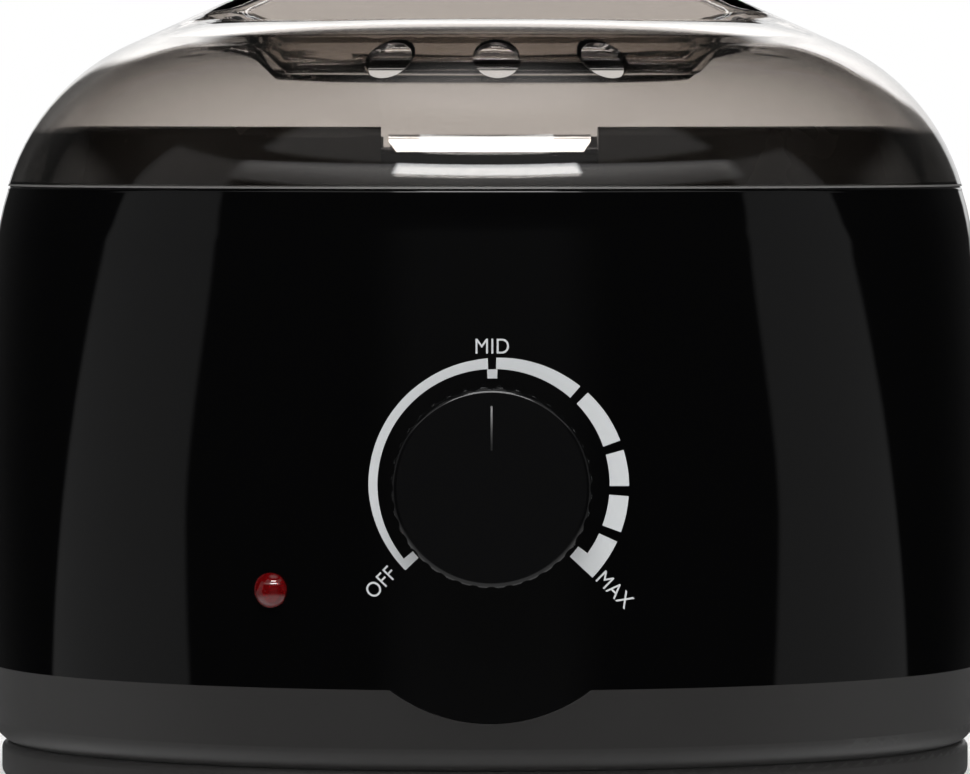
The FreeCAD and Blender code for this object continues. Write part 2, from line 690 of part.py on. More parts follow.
def collar_envelope(name):
    """The collar's outer form, filled from its spigot to its outer face."""
    return turned(name, [
        (SPIGOT_INNER, SPIGOT_FOOT),
        (SPIGOT_OUTER, SPIGOT_FOOT),
        (SPIGOT_OUTER, SEAM),
        (COLLAR_FOOT, SEAM),
        (COLLAR_HEAD, f"{COLLAR_TOP} - collar_turn"),
        (LAND_OUTER, COLLAR_TOP, "collar_turn + 0.1", "left"),
        (LAND_INNER, COLLAR_TOP),
        (THROAT, f"{COLLAR_TOP} - 2.0"),
        (THROAT, SEAT),
        (SPIGOT_INNER, SEAT),
    ])


collar_core = turned("collar_core", [
    (SPIGOT_OUTER, f"{SEAM} - 0.5"),
    (f"{COLLAR_FOOT} - collar_wall + 0.1", f"{SEAM} - 0.5"),
    (f"{COLLAR_HEAD} - collar_wall", CORE_TOP),
    (f"{THROAT} + collar_wall", CORE_TOP),
    (f"{THROAT} + collar_wall", SEAT_UNDER),
    (SPIGOT_OUTER, SEAT_UNDER),
])
SILL = f"({COLLAR_TOP} - notch_drop)"
SILL_EDGE = f"({COLLAR_HEAD} - 2.6)"
notch_outline = [
    ("pot_radius + 1", SEAT),
    (f"{THROAT} + 0.4", SEAT),
    (f"{THROAT} + 0.4", SILL),
    (SILL_EDGE, SILL),
    (f"{SILL_EDGE} + 10", f"{SILL} - sill_drop*10/3.4"),
    (f"{SILL_EDGE} + 10", f"{COLLAR_TOP} + 5"),
    ("pot_radius + 1", f"{COLLAR_TOP} + 5"),
]
SIDES = {"rear": Placement(), "front": about_z(180)}


def collar_boss(name, place):
    length = f"{CORE_TOP} - {SEAM} + 0.3"
    return cylinder(name, "boss_radius - 0.8", length, (COLLAR_SCREWS, "0", SEAM), place)


def collar_bore(name, place):
    length = f"{CORE_TOP} - {SEAM} + 0.7"
    return cylinder(name, "screw_radius", length, (COLLAR_SCREWS, "0", f"{SEAM} - 1"), place)


collar_hollow = cut("collar_hollow", collar_envelope("collar_form"), collar_core)
cheek_size = ("notch_width + 2*collar_wall", "40", "30")
cheeks = [
    box(f"cheeks_{side}", cheek_size, ("0", f"{BELLY} - 15", SEAM), place)
    for side, place in SIDES.items()
]
notch_blocks = common("notch_blocks", collar_envelope("cheek_form"), together("cheek_boxes", cheeks))
notches = [
    padded(f"notch_{side}", "YZ_Plane", notch_outline, "notch_width", place=place, both_ways=True)
    for side, place in SIDES.items()
]
collar_bosses = ring_of("collar_bosses", collar_boss, CORNERS)
collar_full = fuse("collar_full", collar_hollow, notch_blocks, collar_bosses)
pot_collar = keep("pot_collar", cut(
    "pot_collar", collar_full, *notches, ring_of("collar_bores", collar_bore, CORNERS),
))

# ---------------------------------------------------------------- wax pot and its lifting tabs
FLANGE_TOP = f"({SEAT} + pot_wall)"
FLANGE_EDGE = "(pot_radius + flange_width)"
POT_FOOT = "(pot_radius - pot_draft)"
pot_form = turned("pot_form", [
    ("0", POT_BOTTOM),
    (f"{POT_FOOT} - pot_corner", POT_BOTTOM),
    (POT_FOOT, f"{POT_BOTTOM} + pot_corner", "pot_corner", "left"),
    ("pot_radius", SEAT),
    (FLANGE_EDGE, SEAT),
    (FLANGE_EDGE, FLANGE_TOP, "pot_wall/2 + 0.001", "left"),
    ("pot_radius + 0.8", FLANGE_TOP),
    ("pot_radius - pot_wall", f"{SEAT} - 0.8", "2.0", "left"),
    (f"{POT_FOOT} - pot_wall", f"{POT_BOTTOM} + pot_corner"),
    (f"{POT_FOOT} - pot_corner", f"{POT_BOTTOM} + pot_wall", "pot_corner - pot_wall", "right"),
    ("0", f"{POT_BOTTOM} + pot_wall"),
])

TAB_TOP = f"({FLANGE_TOP} + tab_rise)"
BEND = f"({FLANGE_EDGE} + tab_reach)"
RIVET_LINE = "(pot_radius + 3.4)"
tab_outline = [
    ("pot_radius + 1.2", FLANGE_TOP),
    (f"{FLANGE_EDGE} + 1.6", FLANGE_TOP),
    (f"{FLANGE_EDGE} + 3.4", f"{TAB_TOP} - tab_sheet"),
    (f"{BEND} - tab_sheet - 0.4", f"{TAB_TOP} - tab_sheet"),
    (f"{BEND} + tab_lean - tab_sheet", f"{TAB_TOP} - tab_lip"),
    (f"{BEND} + tab_lean", f"{TAB_TOP} - tab_lip + 0.2"),
    (f"{BEND}", f"{TAB_TOP} - 0.7"),
    (f"{BEND} - 0.8", TAB_TOP, "0.8", "left"),
    (f"{FLANGE_EDGE} + 2.9", TAB_TOP),
    (f"{FLANGE_EDGE} + 1.1", f"{FLANGE_TOP} + tab_sheet"),
    ("pot_radius + 1.2", f"{FLANGE_TOP} + tab_sheet"),
]
lip_clip = [
    ("-tab_foot/2", f"{TAB_TOP} - tab_lip - 0.5"),
    ("tab_foot/2", f"{TAB_TOP} - tab_lip - 0.5"),
    ("tab_width/2", f"{TAB_TOP} - tab_sheet"),
    ("tab_width/2", f"{TAB_TOP} + 3"),
    ("-tab_width/2", f"{TAB_TOP} + 3"),
    ("-tab_width/2", f"{TAB_TOP} - tab_sheet"),
]


def rivet_holes(name, place):
    spots = [(f"{side}*rivet_spread/2", RIVET_LINE, f"{SEAT} - 1") for side in (-1, 1)]
    return [cylinder(f"{name}_{n}", "rivet_radius", "6", at, place) for n, at in enumerate(spots)]


def lifting_tab(side, place):
    strip = padded(f"{side}_strip", "YZ_Plane", tab_outline, "tab_width", place=place, both_ways=True)
    clip = padded(f"{side}_clip", "XZ_Plane", lip_clip, "300", place=place, both_ways=True)
    shaped = common(f"{side}_shaped", strip, clip)
    return cut(f"{side}_tab", shaped, *rivet_holes(f"{side}_tab_hole", place))


def tab_rivet(name, at, place):
    """A round-headed rivet, flush under the flange."""
    spot = place.multiply(Placement(Vector(value(at[0]), value(at[1]), 0), Rotation()))
    head = f"{FLANGE_TOP} + tab_sheet"
    return turned(name, [
        ("0", f"{SEAT} + 0.1"),
        ("rivet_radius", f"{SEAT} + 0.1"),
        ("rivet_radius", head),
        ("rivet_head", head),
        ("0", f"{head} + rivet_rise", cap_radius("rivet_head", "rivet_rise"), "left"),
    ], spot)


pot_holes = []
rivets = []
for side, place in SIDES.items():
    keep(f"{side}_lifting_tab", lifting_tab(side, place))
    pot_holes += rivet_holes(f"{side}_pot_hole", place)
    for n, hand in enumerate((-1, 1)):
        rivets.append(tab_rivet(f"{side}_rivet_{n}", (f"{hand}*rivet_spread/2", RIVET_LINE), place))
keep("wax_pot", cut("wax_pot", pot_form, *pot_holes))
keep("tab_rivets", together("tab_rivets", rivets))

# ---------------------------------------------------------------- heater
CUP_TOP = SPIGOT_FOOT
CUP_FLOOR = f"({CUP_BOTTOM} + cup_wall)"
cup_form = turned("cup_form", [
    ("0", CUP_BOTTOM),
    (f"{CUP_OUTER} - cup_corner", CUP_BOTTOM),
    (CUP_OUTER, f"{CUP_BOTTOM} + cup_corner", "cup_corner", "left"),
    (CUP_OUTER, f"{CUP_TOP} - cup_wall"),
    (f"{CUP_OUTER} + cup_lip", f"{CUP_TOP} - cup_wall"),
    (f"{CUP_OUTER} + cup_lip", CUP_TOP),
    (CUP_INNER, CUP_TOP),
    (CUP_INNER, f"{CUP_FLOOR} + cup_corner - cup_wall"),
    (f"{CUP_OUTER} - cup_corner", CUP_FLOOR, "cup_corner - cup_wall", "right"),
    ("0", CUP_FLOOR),
])
stud = cylinder("cup_stud", "stud_radius", "stud_length + 0.5", ("0", "0", f"{CUP_BOTTOM} - stud_length"))
heater_cup = keep("heater_cup", fuse("heater_cup", cup_form, stud))

HEATER_FOOT = f"({CUP_BOTTOM} - heater_height)"
CLAMP_FOOT = f"({HEATER_FOOT} - clamp_sheet)"
heater_disc = keep("heater_disc", turned("heater_disc", [
    ("stud_radius + 2", HEATER_FOOT),
    ("heater_radius - 1", HEATER_FOOT),
    ("heater_radius", f"{HEATER_FOOT} + 1"),
    ("heater_radius", CUP_BOTTOM),
    ("stud_radius + 2", CUP_BOTTOM),
]))
clamp_plate = keep("heater_clamp_plate", turned("clamp_plate", [
    ("stud_radius", CLAMP_FOOT),
    ("clamp_radius - 3", CLAMP_FOOT),
    ("clamp_radius - 3", f"{CLAMP_FOOT} - 2"),
    ("clamp_radius - 1.5", f"{CLAMP_FOOT} - 2"),
    ("clamp_radius", HEATER_FOOT),
    ("stud_radius", HEATER_FOOT),
]))
TAG_FOOT = f"({CLAMP_FOOT} - tag_sheet)"
tag_ring = cylinder("tag_ring", "tag_radius", "tag_sheet", ("0", "0", TAG_FOOT))
tag_tail = box("tag_tail", ("tag_length", "tag_width", "tag_sheet"), ("tag_length/2", "0", TAG_FOOT))
tag_bore = cylinder("tag_bore", "stud_radius", "tag_sheet + 2", ("0", "0", f"{TAG_FOOT} - 1"))
keep("earth_tag", cut("earth_tag", fuse("tag_form", tag_ring, tag_tail), tag_bore))
stud_nut = hexagon("stud_nut", "nut_flat", "nut_height", ("0", "0", f"{TAG_FOOT} - nut_height"))
nut_bore = cylinder("nut_bore", "stud_radius", "nut_height + 2", ("0", "0", f"{TAG_FOOT} - nut_height - 1"))
keep("heater_nut", cut("heater_nut", stud_nut, nut_bore))


def standoff(name, place):
    height = f"{CUP_BOTTOM} - {FLOOR_TOP}"
    post = cylinder(name + "_post", "post_radius", height, ("post_circle", "0", FLOOR_TOP), place)
    bore_at = ("post_circle", "0", f"{FLOOR_TOP} - 1")
    bore = cylinder(name + "_bore", "screw_radius", "screw_bite + 1", bore_at, place)
    return cut(name, post, bore)


keep("cup_standoffs", ring_of("cup_standoffs", standoff, THIRDS))

WOOL_BOTTOM = f"({CUP_BOTTOM} + wool_foot)"
WOOL_TOP = f"({CUP_TOP} - wool_headroom)"
wool_ring = turned("wool_ring", [
    (CUP_OUTER, WOOL_BOTTOM),
    (f"{CUP_OUTER} + wool_wall", WOOL_BOTTOM),
    (f"{CUP_OUTER} + wool_wall", WOOL_TOP),
    (CUP_OUTER, WOOL_TOP),
])
wool_gap = box("wool_gap", ("wool_window", "100", "100"), ("0", "-50", f"{WOOL_BOTTOM} - 1"))
keep("insulation_sleeve", cut("insulation_sleeve", wool_ring, wool_gap))

# ---------------------------------------------------------------- thermostat
hat_outline = rectangle("bracket_width/2", "0", f"{PLATE} + bracket_sheet")
hat_inner = rectangle("bracket_width/2 - bracket_sheet", "-1", PLATE)
LOW_EDGE = "dial_level - bracket_height/2"
to_front = about_z(180)
hat = padded("hat", "XY_Plane", hat_outline, "bracket_height", LOW_EDGE, place=to_front)
hat_room = padded("hat_room", "XY_Plane", hat_inner, "bracket_height + 2", f"{LOW_EDGE} - 1", place=to_front)
bush_hole = cylinder("bush_hole", "bush_radius", "8", ("0", "0", f"{PLATE} - 3"), FACING_FRONT)
legs_only = cylinder("legs_only", CUP_OUTER, "200")
keep("thermostat_bracket", cut("thermostat_bracket", hat, hat_room, legs_only, bush_hole))

STAT_BACK = f"({PLATE} - stat_depth)"
stat_block = padded("stat_block", "XY_Plane", [
    ("-stat_width/2 + 2", "-stat_height/2", "2", "left"),
    ("stat_width/2 - 2", "-stat_height/2"),
    ("stat_width/2", "-stat_height/2 + 2", "2", "left"),
    ("stat_width/2", "stat_height/2 - 2"),
    ("stat_width/2 - 2", "stat_height/2", "2", "left"),
    ("-stat_width/2 + 2", "stat_height/2"),
    ("-stat_width/2", "stat_height/2 - 2", "2", "left"),
    ("-stat_width/2", "-stat_height/2 + 2"),
], "stat_depth", STAT_BACK, place=FACING_FRONT)
BUSH_BACK = ("0", "0", f"{PLATE} - bush_root")
bush_room = cylinder("bush_room", "bush_radius", "bush_root + 1", BUSH_BACK, FACING_FRONT)
SHAFT_BACK = f"({PLATE} - bush_root - shaft_root)"
shaft_room = cylinder(
    "shaft_room", "shaft_radius + running_gap", "shaft_root + 4", ("0", "0", SHAFT_BACK), FACING_FRONT
)
keep("thermostat_body", cut("thermostat_body", stat_block, bush_room, shaft_room))

bush_rod = cylinder("bush_rod", "bush_radius", "bush_root + bush_length", BUSH_BACK, FACING_FRONT)
bore_at = ("0", "0", f"{PLATE} - 10")
bush_bore = cylinder("bush_bore", "shaft_radius + running_gap", "30", bore_at, FACING_FRONT)
keep("thermostat_bush", cut("thermostat_bush", bush_rod, bush_bore))

PLATE_FRONT = f"({PLATE} + bracket_sheet)"
bush_hex = hexagon("bush_hex", "bush_flat", "bush_nut", ("0", "0", PLATE_FRONT), FACING_FRONT)
hex_bore = cylinder("hex_bore", "bush_radius", "bush_nut + 2", ("0", "0", f"{PLATE_FRONT} - 1"), FACING_FRONT)
keep("thermostat_nut", cut("thermostat_nut", bush_hex, hex_bore))

STAT_FOOT = "(dial_level - stat_height/2)"
BLADE_LINE = f"-({STAT_BACK} + stat_depth/2)"
blade_size = ("blade_width", "blade_sheet", "blade_length")
blades = [
    box(f"blade_{n}", blade_size, (f"{side}*blade_spread/2", BLADE_LINE, f"{STAT_FOOT} - blade_length"))
    for n, side in enumerate((-1, 1))
]
keep("thermostat_terminals", together("thermostat_terminals", blades))

# ---------------------------------------------------------------- dial: knob and shaft
KNOB_BACK = f"({BELLY} + knob_gap)"
KNOB_FRONT = f"({KNOB_BACK} + knob_depth)"
KNOB_FACE = "(knob_radius - knob_draft - knob_turn)"


knob_inner = "(knob_radius - knob_wall)"
knob_plain = turned("knob_plain", [
    ("0", f"{KNOB_FRONT} - 4.4"),
    ("shaft_radius", f"{KNOB_FRONT} - 4.4"),
    ("shaft_radius", f"{KNOB_BACK} + 1.2"),
    ("knob_hub", f"{KNOB_BACK} + 1.2"),
    ("knob_hub", f"{KNOB_FRONT} - knob_wall - knob_dish"),
    (f"{knob_inner} - knob_draft - 0.6", f"{KNOB_FRONT} - knob_wall - knob_dish"),
    (knob_inner, KNOB_BACK),
    ("knob_radius", KNOB_BACK),
    ("knob_radius - knob_draft", f"{KNOB_FRONT} - knob_turn"),
    (KNOB_FACE, KNOB_FRONT, "knob_turn", "left"),
    (f"{KNOB_FACE} - 1.4", KNOB_FRONT),
    ("0", f"{KNOB_FRONT} - knob_dish", cap_radius(f"{KNOB_FACE} - 1.4", "knob_dish"), "right"),
], FACING_FRONT)


def scallops():
    """A pattern of round cutters along the knob's rim."""
    body = new_body("scallops", FACING_FRONT)
    reach = "(knob_radius + scallop_radius - scallop_depth)"
    width = "scallop_radius"
    sketch = sketched(body, "scallop_outline", "XY_Plane", [
        (f"{reach} + {width}", f"-{width}"),
        (f"{reach} + {width}", width),
        (reach, width),
        (reach, f"-{width}", f"{width} + 0.0001", "left"),
    ], f"{KNOB_BACK} - 1")
    pad = body.newObject("PartDesign::Pad", "scallop_pad")
    pad.Profile = sketch
    pad.setExpression("Length", bound("knob_depth + 2"))
    doc.recompute()
    fan = body.newObject("PartDesign::PolarPattern", "scallop_fan")
    fan.Originals = [pad]
    fan.Axis = (plane_of(body, "Z_Axis"), [""])
    fan.Angle = 360
    fan.setExpression("Occurrences", bound("scallop_count"))
    body.Tip = fan
    doc.recompute()
    return body


POINTER_AT = ("0", "pointer_start + pointer_length/2", f"{KNOB_FRONT} - pointer_depth - knob_dish")
pointer_groove = box("pointer_groove", ("pointer_width", "pointer_length", "5"), POINTER_AT, FACING_FRONT)
keep("knob", cut("knob", knob_plain, scallops(), pointer_groove))

SHAFT_FOOT = f"({SHAFT_BACK} + 0.3)"
SHAFT_LENGTH = f"({KNOB_FRONT} - 4.4 - {SHAFT_FOOT})"
keep("dial_shaft", cylinder("dial_shaft", "shaft_radius", SHAFT_LENGTH, ("0", "0", SHAFT_FOOT), FACING_FRONT))

# ---------------------------------------------------------------- lamp
LAMP_WALL = barrel("lamp_level")
LAMP_INNER = barrel("lamp_level", "shell_wall")
LENS_BORE = "(lens_neck - lens_wall)"
LENS_CEILING = f"({LAMP_WALL} + lens_rise - lens_wall)"
keep("lamp_lens", turned("lamp_lens", [
    ("0", LENS_CEILING),
    (LENS_BORE, f"{LENS_CEILING} - lens_dome", cap_radius(LENS_BORE, "lens_dome"), "right"),
    (LENS_BORE, f"{LAMP_WALL} - lens_tail"),
    ("lens_neck", f"{LAMP_WALL} - lens_tail"),
    ("lens_neck", f"{LAMP_WALL} + 0.15"),
    ("lens_radius", f"{LAMP_WALL} + 0.15"),
    ("lens_radius", f"{LAMP_WALL} + 0.7"),
    ("0", f"{LAMP_WALL} + lens_rise", cap_radius("lens_radius", "lens_rise - 0.7"), "left"),
], AT_LAMP))
PUSH_FOOT = f"{LAMP_INNER} - clip_sheet - clip_gap"
push_disc = cylinder("push_disc", "clip_radius", "clip_sheet", ("0", "0", PUSH_FOOT), AT_LAMP)
push_bore = cylinder("push_bore", "lens_neck", "10", ("0", "0", f"{LAMP_INNER} - 5"), AT_LAMP)
keep("lens_push_ring", cut("lens_push_ring", push_disc, push_bore))
NEON_FRONT = f"({LAMP_WALL} + 0.4)"
keep("neon_lamp", turned("neon_lamp", [
    ("0", f"{NEON_FRONT} - neon_length"),
    (LENS_BORE, f"{NEON_FRONT} - neon_length"),
    (LENS_BORE, f"{NEON_FRONT} - neon_tip"),
    ("0", NEON_FRONT, cap_radius(LENS_BORE, "neon_tip"), "left"),
], AT_LAMP))

# ---------------------------------------------------------------- cord entry
GLAND_WALL = barrel("gland_level")
gland_solid = turned("gland_solid", [
    ("cord_radius", f"{GLAND_WALL} - gland_tail"),
    ("gland_neck - 0.6", f"{GLAND_WALL} - gland_tail"),
    ("gland_neck + 0.9", f"{GLAND_WALL} - shell_wall - 2.4"),
    ("gland_neck", f"{GLAND_WALL} - shell_wall - 0.4"),
    ("gland_neck", f"{GLAND_WALL} - 1"),
    ("gland_flange", f"{GLAND_WALL} - 1"),
    ("gland_flange", f"{GLAND_WALL} + gland_proud - 1"),
    ("gland_flange - 1", f"{GLAND_WALL} + gland_proud", "1", "left"),
    ("cord_radius", f"{GLAND_WALL} + gland_proud"),
], FACING_REAR)
keep("cord_gland", cut("cord_gland", gland_solid, upper_shell))

clamp_size = ("clamp_spread + 2*clamp_post + 2", "clamp_depth", "clamp_height")
clamp_bar = box("clamp_bar", clamp_size, ("0", CLAMP_LINE, "clamp_level"))
way_place = Placement(Vector(0, 0, value("clamp_level")), FACING_REAR.Rotation)
way_at = ("0", "0", f"{CLAMP_LINE} - clamp_depth/2 - 1")
cord_way = cylinder("cord_way", "cord_radius", "clamp_depth + 2", way_at, way_place)
clamp_way = [
    cylinder(f"clamp_way_{n}", "screw_radius + hole_gap", "clamp_height + 2", (*at, "clamp_level - 1"))
    for n, at in enumerate(CLAMP_POSTS)
]
keep("cord_clamp", cut("cord_clamp", clamp_bar, cord_way, *clamp_way))


def down_screw(name, x, y, seat, length):
    """A pan-head screw that points down from its seat."""
    head = cylinder(name + "_head", "screw_head", "head_height", (x, y, seat))
    shank = cylinder(name + "_shank", "screw_radius", length, (x, y, f"{seat} - ({length})"))
    return fuse(name, head, shank)


keep("clamp_screws", together("clamp_screws", [
    down_screw(f"clamp_screw_{n}", *at, "clamp_level + clamp_height", "clamp_height + 7")
    for n, at in enumerate(CLAMP_POSTS)
]))

block_size = ("block_width", "block_depth", "block_height")
block_solid = box("block_solid", block_size, ("0", "block_place", FLOOR_TOP))
POLES = [f"{n}*pole_pitch" for n in (-1, 0, 1)]
POLE_HEAD = f"({FLOOR_TOP} + block_height - 4)"
WIRE_LEVEL = f"({FLOOR_TOP} + block_height/2 - 1)"
pole_ways = []
for n, x in enumerate(POLES):
    way_place = Placement(Vector(0, 0, value(WIRE_LEVEL)), FACING_REAR.Rotation)
    way_at = (x, "0", "block_place - block_depth/2 - 1")
    pole_ways.append(cylinder(f"pole_way_{n}", "lead_radius + 0.9", "block_depth + 2", way_at, way_place))
    pole_ways.append(cylinder(f"pole_head_{n}", "pole_screw", "5", (x, "block_place", POLE_HEAD)))
keep("terminal_block", cut("terminal_block", block_solid, *pole_ways))
keep("terminal_screws", together("terminal_screws", [
    cylinder(f"terminal_screw_{n}", "pole_screw", "2.6", (x, "block_place", POLE_HEAD))
    for n, x in enumerate(POLES)
]))

# ---------------------------------------------------------------- thermal fuse
FUSE_LEVEL = f"({CLAMP_FOOT} - fuse_radius - 0.4)"
fuse_place = Placement(Vector(0, value("fuse_place"), value(FUSE_LEVEL)), Rotation(Vector(0, 1, 0), 90))
fuse_foot = ("0", "0", "-fuse_length/2")
keep("thermal_fuse", cylinder("thermal_fuse", "fuse_radius", "fuse_length", fuse_foot, fuse_place))
CLIP_FOOT = f"({FUSE_LEVEL} - fuse_radius - fuse_sheet)"
saddle_size = ("clip_width", "2*fuse_radius + 2*fuse_sheet", f"{CLAMP_FOOT} - {CLIP_FOOT}")
saddle = box("saddle", saddle_size, ("0", "fuse_place", CLIP_FOOT))
wings_size = ("clip_width", "2*fuse_radius + 8", "fuse_sheet")
wings = box("wings", wings_size, ("0", "fuse_place", f"{CLAMP_FOOT} - fuse_sheet"))
fuse_room = cylinder("fuse_room", "fuse_radius", "12", ("0", "0", "-6"), fuse_place)
slot_room = box("slot_room", ("12", "2*fuse_radius", "5"), ("0", "fuse_place", FUSE_LEVEL))
keep("fuse_clip", cut("fuse_clip", fuse("clip_form", saddle, wings), fuse_room, slot_room))

# ---------------------------------------------------------------- wiring
BLADE_FOOT = f"({STAT_FOOT} - blade_length)"
SLEEVE_FOOT = f"({BLADE_FOOT} - sleeve_tail)"


def push_on_sleeve(side):
    at = f"{side}*blade_spread/2"
    size = ("blade_width + 2*sleeve_wall", "blade_sheet + 2*sleeve_wall", "sleeve_tail + sleeve_grip")
    room = ("blade_width + 0.1", "blade_sheet + 0.1", "sleeve_grip + 1")
    solid = box(f"sleeve_solid_{side}", size, (at, BLADE_LINE, SLEEVE_FOOT))
    return cut(f"sleeve_{side}", solid, box(f"sleeve_room_{side}", room, (at, BLADE_LINE, BLADE_FOOT)))


keep("push_on_sleeves", together("push_on_sleeves", [push_on_sleeve(side) for side in (-1, 1)]))

CRIMP_LEVEL = f"({FLOOR_TOP} + crimp_radius + 0.3)"
LIVE_CRIMP = (24, -30)
NEUTRAL_CRIMP = (27, 0)
crimps = [
    cylinder(f"crimp_{n}", "crimp_radius", "crimp_length",
             place=Placement(Vector(x, y, value(CRIMP_LEVEL)), FACING_REAR.Rotation))
    for n, (x, y) in enumerate((LIVE_CRIMP, NEUTRAL_CRIMP))
]
keep("crimp_sleeves", together("crimp_sleeves", crimps))


def lead(name, corners, radius="lead_radius"):
    """A round lead along straight runs that tangent arcs join."""
    points = [Vector(*[value(c) for c in corner]) for corner in corners]
    bend = value("lead_bend")
    edges, here = [], points[0]
    for before, corner, after in zip(points, points[1:], points[2:]):
        back, onward = (before - corner).normalize(), (after - corner).normalize()
        half_turn = (math.pi - back.getAngle(onward)) / 2
        begin = corner + back * (bend * math.tan(half_turn))
        finish = corner + onward * (bend * math.tan(half_turn))
        inward = (back + onward).normalize()
        middle = corner + inward * (bend / math.cos(half_turn) - bend)
        edges += [Part.LineSegment(here, begin).toShape(), Part.Arc(begin, middle, finish).toShape()]
        here = finish
    edges.append(Part.LineSegment(here, points[-1]).toShape())
    section = Part.Wire(Part.Circle(points[0], points[1] - points[0], value(radius)).toShape())
    piece = doc.addObject("Part::Feature", name)
    piece.Shape = Part.Wire(edges).makePipeShell([section], True, True)
    return piece


def pole(n):
    """Where a lead ends in the terminal block's pole, and where it has left the block."""
    return [(POLES[n], "block_place", WIRE_LEVEL), (POLES[n], "block_place - 18", WIRE_LEVEL)]


def blade(side):
    """A lead's end at a push-on sleeve, and its bend near the floor."""
    at = (f"{side}*blade_spread/2", BLADE_LINE)
    return [(*at, SLEEVE_FOOT), (*at, f"{FLOOR_TOP} + 9.5")]


def crimp_end(crimp, far, aside=0):
    """A lead's straight way into one end of a crimp sleeve; far picks the rear end."""
    x, y = crimp[0] + aside, f"{crimp[1]} + {far}*crimp_length"
    return [(x, f"{y} + {16 if far else -16}*0.7", CRIMP_LEVEL), (x, y, CRIMP_LEVEL)]


HEATER_LEAD = "(clamp_radius + heater_radius)/2"
FUSE_LINE = ("fuse_place", FUSE_LEVEL)


def heater_end(side):
    """A lead's way up to the heater's underside, outside the clamp plate."""
    at = (f"{side}*{HEATER_LEAD}*0.47", f"{HEATER_LEAD}*0.883")
    return [(*at, f"{HEATER_FOOT} - 9"), (*at, HEATER_FOOT)]


keep("brown_leads", together("brown_leads", [
    lead("live_lead", [*pole(0), (-12, -40, f"{FLOOR_TOP} + 3.6"), *reversed(blade(-1))]),
    lead("switched_lead", [*blade(1), *crimp_end(LIVE_CRIMP, 0, 1.3)]),
    lead("fuse_lead", [
        *reversed(crimp_end(LIVE_CRIMP, 1)), ("fuse_length/2 + 9", *FUSE_LINE), ("fuse_length/2", *FUSE_LINE),
    ]),
    lead("heater_lead", [
        ("-fuse_length/2", *FUSE_LINE), ("-fuse_length/2 - 6", *FUSE_LINE),
        (-17, 31, f"{FUSE_LEVEL} - 5"), *heater_end(-1),
    ]),
]))
keep("blue_leads", together("blue_leads", [
    lead("neutral_lead", [*pole(1), (NEUTRAL_CRIMP[0] - 1.3, "block_place - 18", CRIMP_LEVEL),
                          (NEUTRAL_CRIMP[0] - 1.3, f"{NEUTRAL_CRIMP[1]} + crimp_length", CRIMP_LEVEL)]),
    lead("return_lead", [heater_end(1)[1], (*heater_end(1)[0][:2], f"{FLOOR_TOP} + 10.6"),
                         *crimp_end(NEUTRAL_CRIMP, 1, 1.3)]),
]))
keep("earth_lead", lead("earth_lead", [
    (POLES[2], "block_place", WIRE_LEVEL), (POLES[2], "block_place - 12.5", WIRE_LEVEL),
    ("tag_length - 3", 0, f"{TAG_FOOT} - 12"), ("tag_length - 3", 0, TAG_FOOT),
]))


def lamp_end(side, reach, level):
    """A thin lead's way out of the neon lamp's rear end and down to the floor."""
    rear = f"({NEON_FRONT} - neon_length)"
    end, behind = (AT_LAMP.multVec(Vector(side * 0.8, 0, value(rear) - back)) for back in (0, reach))
    return [tuple(end), tuple(behind), (behind.x, behind.y, level)]


keep("lamp_leads", together("lamp_leads", [
    lead("lamp_lead_live", [
        *lamp_end(1, 12, f"{FLOOR_TOP} + 2.6"), (8, -58, f"{FLOOR_TOP} + 2.6"),
        *crimp_end(LIVE_CRIMP, 0, -1.3),
    ], "lamp_lead_radius"),
    lead("lamp_lead_neutral", [
        *lamp_end(-1, 9, f"{FLOOR_TOP} + 4.6"), (10, -63, f"{FLOOR_TOP} + 1.8"),
        (34, -44, f"{FLOOR_TOP} + 1.8"), *crimp_end(NEUTRAL_CRIMP, 0),
    ], "lamp_lead_radius"),
]))

# ---------------------------------------------------------------- lid
LID_TOP = f"({SEAM} + lid_height)"
CREST = f"({SEAM_RADIUS} - crest_inset)"
FLARE_RING = f"({CREST} - flare_run)"
FLARE_DROP = "flare_run*tan(flare_slope)"


def rounded(name, base, choices):
    """Fillet the base's edges; each choice is a test that picks edges, and their radius."""
    result = doc.addObject("Part::Fillet", name)
    result.Base = base
    picked = []
    for test, radius in choices:
        size = value(radius)
        picked += [(n, size, size) for n, edge in enumerate(base.Shape.Edges, start=1) if test(edge)]
    result.Edges = picked
    doc.recompute()
    return result


